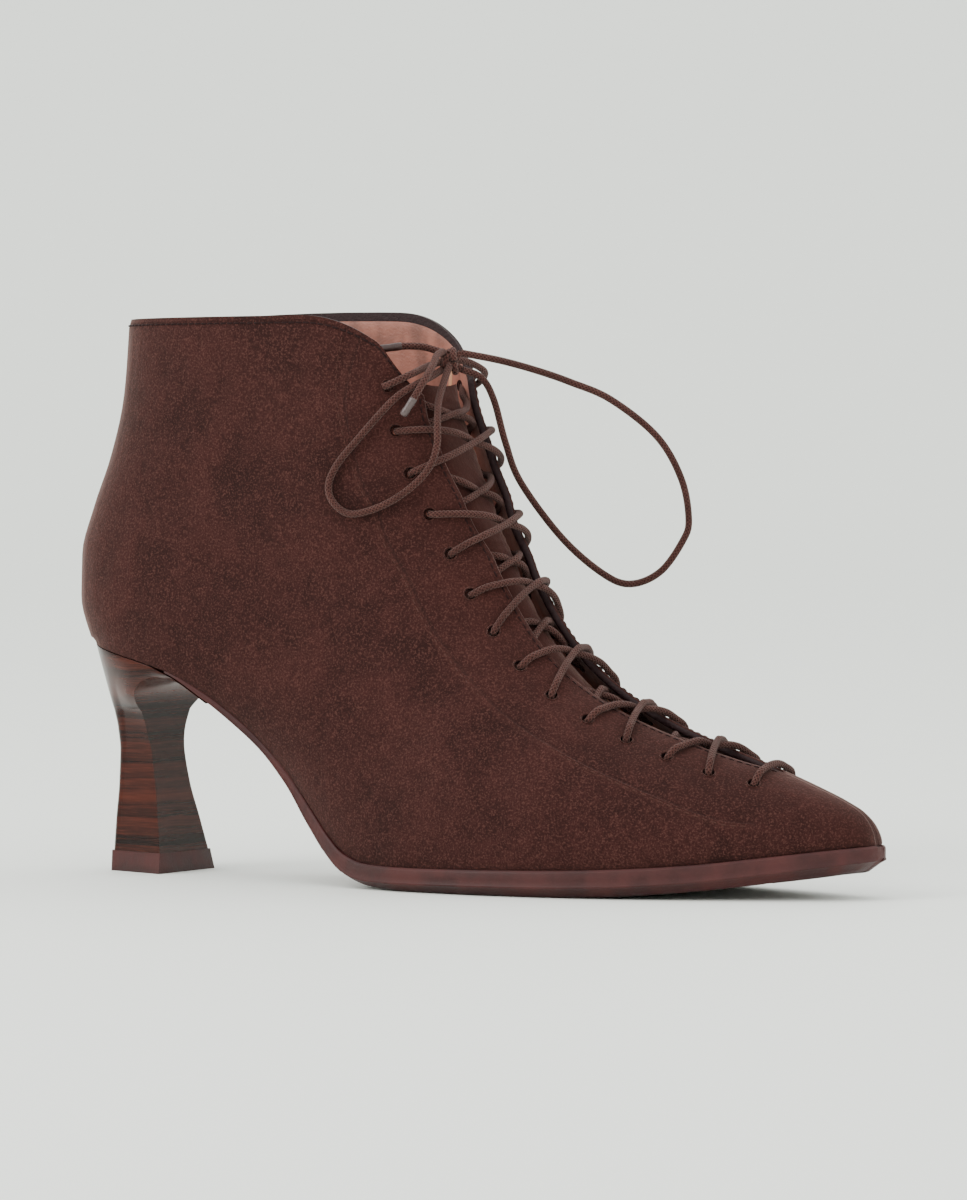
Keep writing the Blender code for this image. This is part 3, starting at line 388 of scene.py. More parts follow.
HOLE_ROWS = hole_rows()
HOLES = [{side: beside_throat(s, side) for side in SIDES} for s in HOLE_ROWS]


def running_length(points):
    """Distance along a path at each of its points."""
    steps = np.linalg.norm(np.diff(points, axis=0), axis=1)
    return np.concatenate([[0.0], np.cumsum(steps)])


def at_marks(values, run, marks):
    """Rows of values along a path, read at marks."""
    return np.stack([np.interp(marks, run, part) for part in np.transpose(values)], axis=1)


def smooth_path(points, step):
    """Evenly spaced points, in metres, on a smooth curve through a route's own points."""
    own = np.array(points, float)
    ends = np.array([2 * own[0] - own[1], *own, 2 * own[-1] - own[-2]])
    dense = []
    for a, b, c, d in zip(ends, ends[1:], ends[2:], ends[3:]):
        for t in np.linspace(0.0, 1.0, 12, endpoint=False):
            dense.append(0.5 * (2 * b + (c - a) * t + (2 * a - 5 * b + 4 * c - d) * t ** 2
                                + (3 * b - a - 3 * c + d) * t ** 3))
    dense.append(own[-1])
    run = running_length(dense)
    return at_marks(dense, run, np.linspace(0.0, run[-1], max(2, round(run[-1] / step)) + 1))


def route(name, step=0.001):
    """A bow route as points in metres."""
    return smooth_path(np.array(ROUTES[name]) * MM, step)


# Camera: the photo's level view of the shoe's outer side, turned 30 degrees to its front.
PHOTO_LENS = 133.9
ZOOM = 1.25
CAMERA_AT = (0.7959, -1.3303, 0.1161)
CAMERA_TURN = 30.0
SHIFT = (-0.0625, -0.1120)


def make_camera():
    """The photo's camera, closer on the one boot."""
    data = bpy.data.cameras.new("camera")
    data.lens = PHOTO_LENS * ZOOM
    data.sensor_width = 36.0
    data.shift_x, data.shift_y = SHIFT
    data.clip_end = 60.0
    camera = bpy.data.objects.new("camera", data)
    camera.location = CAMERA_AT
    camera.rotation_euler = (math.radians(90.0), 0.0, math.radians(CAMERA_TURN))
    bpy.context.scene.collection.objects.link(camera)
    bpy.context.scene.camera = camera


class Look:
    """A node material and short ways to add nodes to it."""

    def __init__(self, name, **sockets):
        self.material = bpy.data.materials.new(name)
        self.material.use_nodes = True
        self.tree = self.material.node_tree
        self.shader = self.tree.nodes["Principled BSDF"]
        self.feed(self.shader, {socket.replace("_", " "): value for socket, value in sockets.items()})
        self.place = self.tree.nodes.new("ShaderNodeTexCoord").outputs["Object"]

    def feed(self, node, inputs):
        """Sets inputs of a node to numbers, colours or sockets."""
        for name, value in inputs.items():
            if isinstance(value, bpy.types.NodeSocket):
                self.tree.links.new(value, node.inputs[name])
            else:
                node.inputs[name].default_value = value

    def node(self, kind, inputs, **settings):
        """A node with its settings and its inputs."""
        node = self.tree.nodes.new("ShaderNode" + kind)
        for name, value in settings.items():
            setattr(node, name, value)
        self.feed(node, inputs)
        return node

    def noise(self, size, detail=2.0, rough=0.5, bend=0.0, place=None):
        """Noise whose features have about this size in metres."""
        inputs = {"Vector": place or self.place, "Scale": 1.0 / size, "Detail": detail,
                  "Roughness": rough, "Distortion": bend}
        return self.node("TexNoise", inputs).outputs["Fac"]

    def stretched(self, *scale):
        """Coordinates scaled along each axis."""
        return self.node("Mapping", {"Vector": self.place, "Scale": scale}).outputs["Vector"]

    def math(self, operation, a, b=0.0):
        """Arithmetic on numbers or sockets."""
        return self.node("Math", {0: a, 1: b}, operation=operation).outputs[0]

    def times(self, a, b):
        """A product of numbers or sockets."""
        return self.math("MULTIPLY", a, b)

    def most(self, first, *others):
        """The largest of some sockets."""
        return functools.reduce(functools.partial(self.math, "MAXIMUM"), others, first)

    def sum(self, *parts):
        """Sockets added up, each with its weight."""
        weighted = [self.times(*part) for part in parts]
        return functools.reduce(functools.partial(self.math, "ADD"), weighted)

    def span(self, value, low, high, start=0.0, end=1.0):
        """A value's range low..high turned smoothly into start..end."""
        inputs = {"Value": value, "From Min": low, "From Max": high, "To Min": start, "To Max": end}
        return self.node("MapRange", inputs, interpolation_type="SMOOTHSTEP").outputs["Result"]

    def blend(self, share, a, b):
        """Two colours mixed."""
        return self.node("Mix", {0: share, 6: a, 7: b}, data_type="RGBA").outputs[2]

    def distances(self, layer):
        """A mesh's stored pair of distances, in metres."""
        uv = self.node("UVMap", {}, uv_map=layer).outputs["UV"]
        return self.node("SeparateXYZ", {"Vector": uv}).outputs[:2]

    def line(self, distance, at, width):
        """1 on a line at a distance and 0 beside it."""
        off = self.math("ABSOLUTE", self.math("SUBTRACT", distance, at))
        return self.span(off, width * 0.5, width, 1.0, 0.0)

    def finish(self, colour, *layers, roughness=None):
        """The material, with its colour and bumps of (height, depth in metres) one on the other."""
        inputs = {"Base Color": colour}
        if roughness:
            inputs["Roughness"] = roughness
        below = {}
        for height, depth in layers:
            bump = self.node("Bump", {"Height": height, "Distance": depth, "Strength": 1.0, **below})
            below = {"Normal": bump.outputs["Normal"]}
        self.feed(self.shader, inputs | below)
        return self.material


# Colours of the materials, from dark to light.
SUEDE_DARK, SUEDE_MID = (0.0150, 0.0042, 0.0036, 1), (0.0345, 0.0101, 0.0086, 1)
SUEDE_LIGHT, SUEDE_RED = (0.072, 0.0262, 0.0212, 1), (0.038, 0.0098, 0.0072, 1)
SEAM_AND_SHADE_DARK, LAP_LIGHT = (0.008, 0.0033, 0.0033, 1), (0.72, 0.36, 0.20, 1)
PLUM_DARK, PLUM_LIGHT = (0.010, 0.0036, 0.0042, 1), (0.030, 0.012, 0.0135, 1)
LINING_TAN, INSOLE_TAN = (0.297, 0.109, 0.077), (0.25, 0.105, 0.065)
YARN_DARK, YARN_MID = (0.0245, 0.0076, 0.0065, 1), (0.0843, 0.0305, 0.0252, 1)
YARN_LIGHT, YARN_WORN = (0.1414, 0.0583, 0.0479, 1), (0.0326, 0.0108, 0.0091, 1)
THREAD_DARK, THREAD_LIGHT = (0.020, 0.008, 0.008), (0.068, 0.027, 0.021)
RUBBER_BOTTOM_DARK, RUBBER_DARK = (0.018, 0.007, 0.0065, 1), (0.030, 0.0075, 0.0075, 1)
RUBBER_MID, RUBBER_LIGHT = (0.056, 0.0145, 0.0135, 1), (0.080, 0.028, 0.024, 1)
EBONY_DARK, EBONY_RED = (0.0068, 0.0024, 0.0020, 1), (0.0666, 0.0136, 0.0075, 1)
EBONY_LIGHT = (0.102, 0.0258, 0.0136, 1)
# The near lace tip's lighter colour is a painted highlight on the same dark tip.
TIP_DARK, TIP_HIGHLIT = (0.05, 0.022, 0.02), (0.095, 0.066, 0.064)
FLOOR_LOW, FLOOR_HIGH = (0.885, 0.905, 0.872, 1), (0.895, 0.915, 0.882, 1)

# Places and widths of the seams, of the painted highlight beside the facing's seam and of the painted shade
# and dirt along the sole, and the depths of the nap.
SEAM_FROM_EDGE, SEAM_WIDTH, RIDGE_WIDTH = 0.0245, 0.0005, 0.0011
LAP_FROM_EDGE, LAP_WIDTH = 0.0165, 0.0011
COLLAR_SEAM, WELT_SHADE, GLEAM_BESIDE, GLEAM_WIDTH = 0.0016, 0.0025, 0.0011, 0.0012
NAP_DEPTH, SPECK_DEPTH = 0.00022, 0.00009
STRANDS, STRAND_PITCH = 6.0, 0.0011
BAND_WAVER = 0.0022


def shade(colour, share=1.0):
    """A colour made darker or lighter."""
    return (*(min(1.0, part * share) for part in colour), 1)


def suede_look(name, warm=0.0):
    """Brown suede: cloudy nap, short fibres and fine light and dark specks."""
    look = Look(name, Roughness=0.95, Sheen_Weight=0.3, Sheen_Roughness=0.35,
                Sheen_Tint=(0.75, 0.5, 0.45, 1), Specular_IOR_Level=0.15)
    clouds = look.noise(0.024, 3.0, 0.55, 0.6)
    nap = look.noise(0.0042, 3.0, 0.6, 0.3)
    specks = look.noise(0.00055, 2.0, 0.75)
    tone = look.sum((clouds, 0.62), (nap, 0.38))
    base = look.blend(look.span(tone, 0.31, 0.66), SUEDE_DARK, SUEDE_MID)
    base = look.blend(look.span(specks, 0.49, 0.68, 0.0, 0.85), base, SUEDE_LIGHT)
    base = look.blend(look.span(specks, 0.33, 0.49, 0.75, 0.0), base, SUEDE_DARK)
    if warm:
        base = look.blend(warm, base, SUEDE_RED)
    return look, base, clouds, nap, specks


def upper_look():
    """Suede with the seams that follow the throat, the collar and the toe's ridge; a painted highlight
    beside the facing's seam, and painted shade and dirt along the sole.
    """
    look, base, clouds, nap, specks = suede_look("upper_suede")
    from_front, from_collar = look.distances("front_collar")
    from_foot, row = look.distances("foot_row")
    open_here = look.span(row, THROAT_ROW - 0.25, THROAT_ROW + 0.05)
    seam = look.times(look.line(from_front, SEAM_FROM_EDGE, SEAM_WIDTH), open_here)
    ridge = look.times(look.line(from_front, 0.0, RIDGE_WIDTH), look.math("SUBTRACT", 1.0, open_here))
    collar = look.line(from_collar, COLLAR_SEAM, SEAM_WIDTH)
    # Painted shade and dirt: the suede is darker within WELT_SHADE of each section's foot, along the sole
    # and along the back seam above the heel.
    foot_shade_and_dirt = look.span(from_foot, 0.0, WELT_SHADE, 1.0, 0.0)
    base = look.blend(look.span(from_front, 0.004, 0.030, 0.25, 0.0), base, SUEDE_RED)
    # A painted highlight: a thin lighter line just beside the facing's seam.
    seam_highlight = look.times(look.line(from_front, SEAM_FROM_EDGE + GLEAM_BESIDE, GLEAM_WIDTH), open_here)
    base = look.blend(look.times(seam_highlight, 0.12), base, SUEDE_LIGHT)
    # The seams, and the painted shade and dirt along the foot, are darkened towards one colour.
    dark = look.most(seam, ridge, look.times(collar, 0.7), look.times(foot_shade_and_dirt, 0.6))
    base = look.blend(look.times(dark, 0.2), base, SEAM_AND_SHADE_DARK)
    groove = look.math("SUBTRACT", 1.0, look.most(seam, ridge, collar))
    return look.finish(base, (groove, 0.00012), (clouds, 0.0006), (nap, NAP_DEPTH), (specks, SPECK_DEPTH))


def grained_look(name, dark, light, noise, depth=0.0, **sockets):
    """A plain look with a grain between two colours."""
    look = Look(name, **sockets)
    grain = look.noise(*noise)
    return look.finish(look.blend(grain, dark, light), *([(grain, depth)] if depth else []))


def tip_look(name, colour, rough):
    """Clear-coated lace tip."""
    return grained_look(name, shade(colour, 0.5), shade(colour), (0.0009, 2.0, 0.5, 0.4), 0.00015,
                        Roughness=rough, Specular_IOR_Level=0.4)


def lining_look(name, base, seamed=False):
    """Lining leather with soft folds and pores, and a lapped seam where one is sewn."""
    look = Look(name, Roughness=0.42, Specular_IOR_Level=0.5, Sheen_Weight=0.1)
    clouds = look.noise(0.014, 3.0, 0.55, 0.8)
    pores = look.noise(0.0007, 2.0, 0.6)
    folds = look.noise(1.0, 2.0, 0.5, 0.4, look.stretched(160.0, 160.0, 28.0))
    tone = look.sum((clouds, 0.5), (folds, 0.5))
    colour = look.blend(look.span(tone, 0.35, 0.65), shade(base, 0.55), shade(base, 1.28))
    layers = [(folds, 0.0006), (pores, 0.00012)]
    if seamed:
        lap = look.line(look.distances("front_collar")[0], LAP_FROM_EDGE, LAP_WIDTH)
        colour = look.blend(look.times(lap, 0.8), colour, LAP_LIGHT)
        layers.insert(0, (lap, 0.0004))
    return look.finish(colour, *layers)


def lace_look():
    """Round woven lace: diagonal strands of a reddish brown yarn."""
    look = Look("woven_lace", Roughness=0.8, Sheen_Weight=0.15, Specular_IOR_Level=0.12,
                Sheen_Tint=(0.8, 0.6, 0.55, 1))
    around, along = look.distances("lace")
    turn = look.times(around, STRANDS)
    run = look.math("DIVIDE", along, STRAND_PITCH)
    strands = [look.math("PINGPONG", look.math(way, turn, run), 0.5) for way in ("ADD", "SUBTRACT")]
    weave = look.times(look.most(*strands), 2.0)
    fuzz = look.noise(0.0005, 3.0, 0.6)
    patches = look.noise(0.012, 2.0, 0.5)
    base = look.blend(look.span(weave, 0.45, 0.95), YARN_DARK, YARN_MID)
    base = look.blend(look.span(fuzz, 0.5, 0.8, 0.0, 0.5), base, YARN_LIGHT)
    base = look.blend(look.span(patches, 0.4, 0.65, 0.0, 0.45), base, YARN_WORN)
    return look.finish(base, (weave, 0.0003), (fuzz, 0.0001))


def rubber_look():
    """Burgundy rubber with a faint grain, rubbed lighter where it is worn, and darker towards the bottom."""
    look = Look("burgundy_rubber", Specular_IOR_Level=0.22)
    grain = look.noise(0.0006, 3.0, 0.6)
    clouds = look.noise(0.011, 3.0, 0.55)
    base = look.blend(look.span(clouds, 0.35, 0.68), RUBBER_DARK, RUBBER_MID)
    base = look.blend(look.span(grain, 0.55, 0.8, 0.0, 0.35), base, RUBBER_LIGHT)
    # Darker towards the bottom.
    height = look.node("SeparateXYZ", {"Vector": look.place}).outputs["Z"]
    base = look.blend(look.span(height, 0.0004, 0.0026, 0.45, 0.0), base, RUBBER_BOTTOM_DARK)
    rough = look.span(clouds, 0.3, 0.7, 0.40, 0.58)
    return look.finish(base, (clouds, 0.0003), (grain, 0.00008), roughness=rough)


def heel_look():
    """Polished block with level bands like ebony, from near black to red brown."""
    look = Look("striped_heel", Specular_IOR_Level=0.13)
    waver = look.noise(0.022, 3.0, 0.5)
    parts = look.node("SeparateXYZ", {"Vector": look.place})
    shift = look.times(look.math("SUBTRACT", waver, 0.5), BAND_WAVER)
    height = look.math("ADD", parts.outputs["Z"], shift)
    level = look.node("CombineXYZ", {"Z": height}).outputs["Vector"]
    bands = look.noise(0.0062, 3.0, 0.62, 0.0, level)
    lines = look.noise(0.0011, 3.0, 0.6, 0.0, level)
    fibres = look.noise(1.0, 3.0, 0.6, 0.3, look.stretched(110.0, 110.0, 2600.0))
    tone = look.sum((bands, 0.62), (lines, 0.24), (fibres, 0.14))
    base = look.blend(look.span(tone, 0.40, 0.62), EBONY_DARK, EBONY_RED)
    base = look.blend(look.span(fibres, 0.56, 0.78, 0.0, 0.5), base, EBONY_LIGHT)
    rough = look.span(look.noise(0.009), 0.3, 0.7, 0.16, 0.26)
    return look.finish(base, (waver, 0.0002), roughness=rough)


def link(name, mesh, *materials):
    """A new piece in the scene."""
    for material in materials:
        mesh.materials.append(material)
    piece = bpy.data.objects.new(name, mesh)
    bpy.context.scene.collection.objects.link(piece)
    return piece


def new_mesh(name, points, faces, sharp=35.0, **layers):
    """A mesh facing outwards, smooth but at sharp edges; a layer has a pair of numbers a corner."""
    mesh = bpy.data.meshes.new(name)
    mesh.from_pydata([tuple(point) for point in points], [], faces)
    for layer, pairs in layers.items():
        data = mesh.uv_layers.new(name=layer).data
        data.foreach_set("uv", np.array(pairs, float).ravel())
    body = bmesh.new()
    body.from_mesh(mesh)
    bmesh.ops.recalc_face_normals(body, faces=body.faces)
    body.to_mesh(mesh)
    body.free()
    mesh.shade_smooth()
    mesh.set_sharp_from_angle(angle=math.radians(sharp))
    return mesh


def ring_faces(rings, count):
    """Faces between closed rings that follow each other in a list of points."""
    pairs = [(i * count + j, i * count + (j + 1) % count) for i in range(rings - 1) for j in range(count)]
    return [(a, b, b + count, a + count) for a, b in pairs]


def loft_mesh(name, rings, ladder=False):
    """A closed body through rings with the same number of points, capped at both ends."""
    count = len(rings[0])
    faces = ring_faces(len(rings), count)
    for base in (0, (len(rings) - 1) * count):
        if ladder:
            faces += [(base + j, base + j + 1, base + count - 2 - j, base + count - 1 - j)
                      for j in range(count // 2 - 1)]
        else:
            faces.append(tuple(range(base, base + count)))
    return new_mesh(name, [point for ring in rings for point in ring], faces)


def tube_data(points, radius, sides, taper=()):
    """Vertices, faces and lace coordinates of a round tube with closed ends."""
    points = np.array(points, float)
    tangents = np.gradient(points, axis=0)
    tangents /= np.linalg.norm(tangents, axis=1)[:, None]
    radii = [radius] * len(points)
    for index, share in taper:
        radii[index] = radius * share
    turns = [2 * math.pi * k / sides for k in range(sides)]
    side = np.cross(tangents[0], (0.31, 0.22, 0.93))
    verts = []
    for point, tangent, size in zip(points, tangents, radii):
        side = side - tangent * np.dot(side, tangent)
        side /= np.linalg.norm(side)
        up = np.cross(tangent, side)
        verts += [point + (side * math.cos(turn) + up * math.sin(turn)) * size for turn in turns]
    run = running_length(points)
    faces = ring_faces(len(points), sides)
    uvs = [((k + right) / sides, run[i + ahead]) for i in range(len(points) - 1) for k in range(sides)
           for right, ahead in ((0, 0), (1, 0), (1, 1), (0, 1))]
    for base, v in ((0, 0.0), (len(verts) - sides, run[-1])):
        faces.append(tuple(range(base, base + sides)))
        uvs += [(0.0, v)] * sides
    return verts, faces, uvs


def tubes_mesh(name, parts):
    """One mesh of several tubes, with lace coordinates."""
    verts, faces, uvs = [], [], []
    for part_verts, part_faces, part_uvs in parts:
        faces += [tuple(v + len(verts) for v in face) for face in part_faces]
        verts += part_verts
        uvs += part_uvs
    return new_mesh(name, verts, faces, 60.0, lace=uvs)


# The upper's grid, its rim, and its materials: suede, lining and cut edge.
ROWS_PER_ROW = 5
BACK_STEPS, FRONT_STEPS = 9, 26
RIM, COLLAR_BAND, CREASE_FADE = 0.0005, 0.11, 0.006
CUTTER_DEPTH, HOLE_WALL = 0.008, LACE_HOLE * 0.52
OUTSIDE, INSIDE, CUT = 0, 1, 2

# Soft creases, each a trough from one point to another of one side, seen from the side:
# side, x and z of both ends, half width and depth.
CREASES = (
    ("lateral", -108.0, 104.0, -60.0, 112.0, 7.0, 0.45),
    ("lateral", -104.0, 122.0, -66.0, 126.0, 6.0, 0.30),
    ("lateral", -70.0, 96.0, -22.0, 74.0, 9.0, 0.50),
    ("lateral", -20.0, 62.0, 14.0, 30.0, 8.0, 0.45),
    ("lateral", 6.0, 58.0, 34.0, 26.0, 6.0, 0.50),
    ("lateral", 24.0, 44.0, 44.0, 18.0, 5.0, 0.40),
    ("medial", -106.0, 106.0, -58.0, 110.0, 7.0, 0.45),
    ("medial", -68.0, 98.0, -20.0, 76.0, 9.0, 0.50),
    ("medial", -18.0, 60.0, 14.0, 32.0, 7.0, 0.55),
    ("medial", 10.0, 56.0, 36.0, 24.0, 6.0, 0.50),
)


def crease_depth(side, point):
    """How far the leather sinks at a point, with a low ridge beside each trough."""
    sink = 0.0
    for _, x0, z0, x1, z1, half, depth in (crease for crease in CREASES if crease[0] == side):
        start, run = np.array([x0, z0]) * MM, np.array([x1 - x0, z1 - z0]) * MM
        away = np.array([point[0], point[2]]) - start
        share = float(np.dot(away, run) / np.dot(run, run))
        off = float(np.cross(run, away) / np.linalg.norm(run)) / (half * MM)
        taper = math.exp(-max(0.0, abs(share - 0.5) - 0.25) ** 2 * 18)
        ridges = 0.6 * math.exp(-(off - 1.7) ** 2) + 0.3 * math.exp(-(off + 1.7) ** 2)
        sink += depth * MM * taper * (math.exp(-off * off) - ridges)
    return sink


def upper_grid_rows():
    """Row values of the upper's fine grid, with the throat's end and a collar rim."""
    rows = list(np.linspace(0.0, TOP_ROW, TOP_ROW * ROWS_PER_ROW + 1))
    rows[min(range(len(rows)), key=lambda k: abs(rows[k] - THROAT_ROW))] = THROAT_ROW
    return rows[:-1] + [TOP_ROW - COLLAR_BAND, float(TOP_ROW)]


def upper_shares(s, side):
    """Shares from the foot to the edge, closer where the wall turns and at the rim."""
    end, widest = edge_share(s, side), station(s)["widest"]
    shares = [widest * (1 - math.cos(math.pi / 2 * k / BACK_STEPS)) for k in range(BACK_STEPS)]
    turn = math.asin(min(1.0, (end - widest) / (1 - widest)))
    for k in range(FRONT_STEPS):
        shares.append(widest + (1 - widest) * math.sin(turn * k / FRONT_STEPS))
    length = max(1e-4, np.linalg.norm(last_point(s, side, end) - last_point(s, side, shares[-1])))
    shares.append(end - (end - shares[-1]) * min(0.5, RIM / length))
    return shares + [end]


def upper_mesh():
    """The hollow upper: its outside, its inside and a cut edge between them."""
    rows = upper_grid_rows()
    columns = BACK_STEPS + FRONT_STEPS + 2
    index, outer, inner, faces, marks = {}, [], [], [], []
    for side in SIDES:
        shares = [upper_shares(s, side) for s in rows]
        points = np.array([[last_point(collar_row(s, side, a), side, a) for a in row]
                           for s, row in zip(rows, shares)])
        along = np.array([running_length(row) for row in points])
        upward = np.array([running_length(points[:, j]) for j in range(columns)]).T
        for (i, s), j in itertools.product(enumerate(rows), range(columns)):
            seam = (j == 0 and s >= HEEL_ROW) or (j == columns - 1 and s <= THROAT_ROW)
            key = ("both" if seam else side, i, j)
            if key in index:
                index[side, i, j] = index[key]
                continue
            normal = face_normal(collar_row(s, side, shares[i][j]), side, shares[i][j])
            if seam:
                normal[1] = 0.0
            if j == 0:
                normal[2] = 0.0
            normal /= np.linalg.norm(normal)
            point = points[i, j]
            in_point = point - normal * WALL
            if (j == columns - 1 and s > THROAT_ROW) or i == len(rows) - 1:
                point, in_point = point - normal * RIM, in_point + normal * RIM
            else:
                point = point - normal * crease_depth(side, point) * min(1.0, along[i, j] / CREASE_FADE)
            if s <= HEEL_ROW:
                floor = OUTLINE_OF["bottom"](in_point[0]) + GAP
                in_point[2] = floor if j == 0 or i == 0 else max(in_point[2], floor + GAP)
            index[key] = index[side, i, j] = len(outer)
            outer.append(point)
            inner.append(in_point)
            marks.append((along[i, -1] - along[i, j], upward[-1, j] - upward[i, j], along[i, j], s))
        for i, j in itertools.product(range(len(rows) - 1), range(columns - 1)):
            face = [index[side, a, b] for a, b in ((i, j), (i + 1, j), (i + 1, j + 1), (i, j + 1))]
            faces.append(face if side == "lateral" else face[::-1])
    edges = collections.Counter(tuple(sorted(edge)) for face in faces
                                for edge in zip(face, face[1:] + face[:1]))
    total = len(outer)
    back = [[v + total for v in reversed(face)] for face in faces]
    rims = [[a, b, b + total, a + total] for (a, b), uses in edges.items() if uses == 1]
    corners = [marks[v % total] for face in faces + back + rims for v in face]
    mesh = new_mesh("upper_leather", outer + inner, faces + back + rims, 50.0,
                    front_collar=[mark[:2] for mark in corners], foot_row=[mark[2:] for mark in corners])
    bound = [CUT if i == len(rows) - 2 or (j >= columns - 3 and rows[i] > THROAT_ROW) else INSIDE
             for _ in SIDES for i in range(len(rows) - 1) for j in range(columns - 1)]
    mesh.polygons.foreach_set("material_index", [OUTSIDE] * len(faces) + bound + [CUT] * len(rims))
    return mesh


def hole_place(pair, side, inset=WALL / 2):
    """A point on the middle line of a lace hole."""
    return offset_point(HOLE_ROWS[pair], side, HOLES[pair][side], inset)


def holes():
    """Each lace hole's pair, side and outward direction."""
    for pair, side in itertools.product(range(HOLE_PAIRS), SIDES):
        yield pair, side, face_normal(HOLE_ROWS[pair], side, HOLES[pair][side])


def hole_offset(pair, side):
    """A hole's signed distance from the crest's line."""
    return SIGN[side] * section_width(station(HOLE_ROWS[pair]), side, HOLES[pair][side])


def cut_holes(piece):
    """Punches the lace holes through the wall, and gives their walls the cut edge's look."""
    body = bmesh.new()
    for pair, side, normal in holes():
        turn = Vector((0.0, 0.0, 1.0)).rotation_difference(Vector(normal)).to_matrix().to_4x4()
        place = Matrix.Translation(Vector(hole_place(pair, side))) @ turn
        bmesh.ops.create_cone(body, cap_ends=True, segments=14, radius1=LACE_HOLE / 2,
                              radius2=LACE_HOLE / 2, depth=CUTTER_DEPTH, matrix=place)
    cutter = link("hole_cutter", bpy.data.meshes.new("hole_cutter"))
    body.to_mesh(cutter.data)
    body.free()
    modifier = piece.modifiers.new("holes", "BOOLEAN")
    modifier.operation, modifier.solver, modifier.object = "DIFFERENCE", "EXACT", cutter
    bpy.context.view_layer.update()
    evaluated = piece.evaluated_get(bpy.context.evaluated_depsgraph_get())
    cut = bpy.data.meshes.new_from_object(evaluated)
    piece.modifiers.clear()
    piece.data = cut
    bpy.data.objects.remove(cutter, do_unlink=True)
    middles = np.array([tuple(face.center) for face in cut.polygons])
    facing = np.array([tuple(face.normal) for face in cut.polygons])
    kinds = np.array([face.material_index for face in cut.polygons])
    for pair, side, normal in holes():
        away = middles - hole_place(pair, side)
        depth = away @ normal
        off = np.linalg.norm(away - np.outer(depth, normal), axis=1)
        kinds[(off < HOLE_WALL) & (np.abs(depth) < WALL) & (np.abs(facing @ normal) < 0.5)] = CUT
    cut.polygons.foreach_set("material_index", kinds)


def make_upper():
    """The upper with its punched holes."""
    lining = lining_look("copper_lining", LINING_TAN, seamed=True)
    edge = grained_look("cut_edge", PLUM_DARK, PLUM_LIGHT, (0.0009, 3.0, 0.6), 0.0003,
                        Roughness=0.6, Specular_IOR_Level=0.2)
    piece = link("upper_leather", upper_mesh(), upper_look(), lining, edge)
    cut_holes(piece)
    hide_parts("upper")
    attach(piece, "root")


# Rows of stitches as pitch, length and the thread's radius, and rings as depth, radius and thickness.
SEAM_THREAD = (0.0026, 0.0015, 0.00019)
EDGE_THREAD = (0.0024, 0.0017, 0.00022)
COLLAR_THREAD = (0.0023, 0.0017, 0.00024)
SEAM_THREAD_IN, EDGE_THREAD_IN, COLLAR_THREAD_ROWS = SEAM_FROM_EDGE + 0.0012, 0.0018, 0.085
HOLE_RINGS = ((-0.00005, LACE_HOLE / 2 + 0.00012, 0.00022),
              (WALL * 0.7, LACE_HOLE / 2 - 0.00035, 0.00045))


def skin(s, side, share):
    """A point of the outer face and its outward direction."""
    return last_point(s, side, share), face_normal(s, side, share)


def stitch_row(line, pitch, length, radius):
    """Stitches along (point, outward direction): short capsules that dip into the leather."""
    points, normals = (np.array(part) for part in zip(*line))
    run = running_length(points)
    rise = np.array([-0.9, 0.1, 0.45, 0.1, -0.9]) * radius
    parts = []
    for k in range(int(run[-1] / pitch)):
        marks = k * pitch + np.array([0.0, 0.18, 0.5, 0.82, 1.0]) * length
        if marks[-1] > run[-1]:
            break
        path = at_marks(points, run, marks) + at_marks(normals, run, marks) * rise[:, None]
        parts.append(tube_data(path, radius, 5))
    return parts


def make_stitches():
    """Thread along the collar and beside the throat, and along the facing's seam."""
    dark, light = [], []
    for side in SIDES:
        for thread, distance, stitch in ((light, SEAM_THREAD_IN, SEAM_THREAD),
                                         (dark, EDGE_THREAD_IN, EDGE_THREAD)):
            line = []
            for s in np.linspace(THROAT_ROW + 0.1, TOP_ROW, 150):
                share = beside_throat(s, side, distance)
                if share > 0.03:
                    line.append(skin(collar_row(s, side, share), side, share))
            thread += stitch_row(line, *stitch)
        collar = [skin(collar_row(TOP_ROW, side, along) - COLLAR_THREAD_ROWS, side, along)
                  for along in np.linspace(0.0, edge_share(TOP_ROW, side), 90)]
        dark += stitch_row(collar, *COLLAR_THREAD)
    for name, parts, colour in (("facing_stitches", light, THREAD_LIGHT),
                                ("edge_stitches", dark, THREAD_DARK)):
        thread = grained_look(name + "_thread", shade(colour, 0.6), shade(colour), (0.0004,), 0.0001,
                              Roughness=0.6, Specular_IOR_Level=0.08)
        piece = link(name, tubes_mesh(name, parts), thread)
        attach(piece, "root")


def make_hole_rims():
    """The leather pressed up a little round each punched hole, and its rough inside."""
    parts = []
    for pair, side, normal in holes():
        across = np.cross(normal, (0.0, 0.0, 1.0))
        across /= np.linalg.norm(across)
        up = np.cross(normal, across)
        for inset, radius, thick in HOLE_RINGS:
            ring = [hole_place(pair, side, inset) + (across * math.cos(t) + up * math.sin(t)) * radius
                    for t in np.linspace(0.0, 2 * math.pi, 21)]
            parts.append(tube_data(ring, thick, 6))
    look, base, _, nap, specks = suede_look("pressed_suede", 0.35)
    pressed = look.finish(base, (nap, 0.0003), (specks, 0.0002))
    piece = link("hole_rims", tubes_mesh("hole_rims", parts), pressed)
    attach(piece, "root")


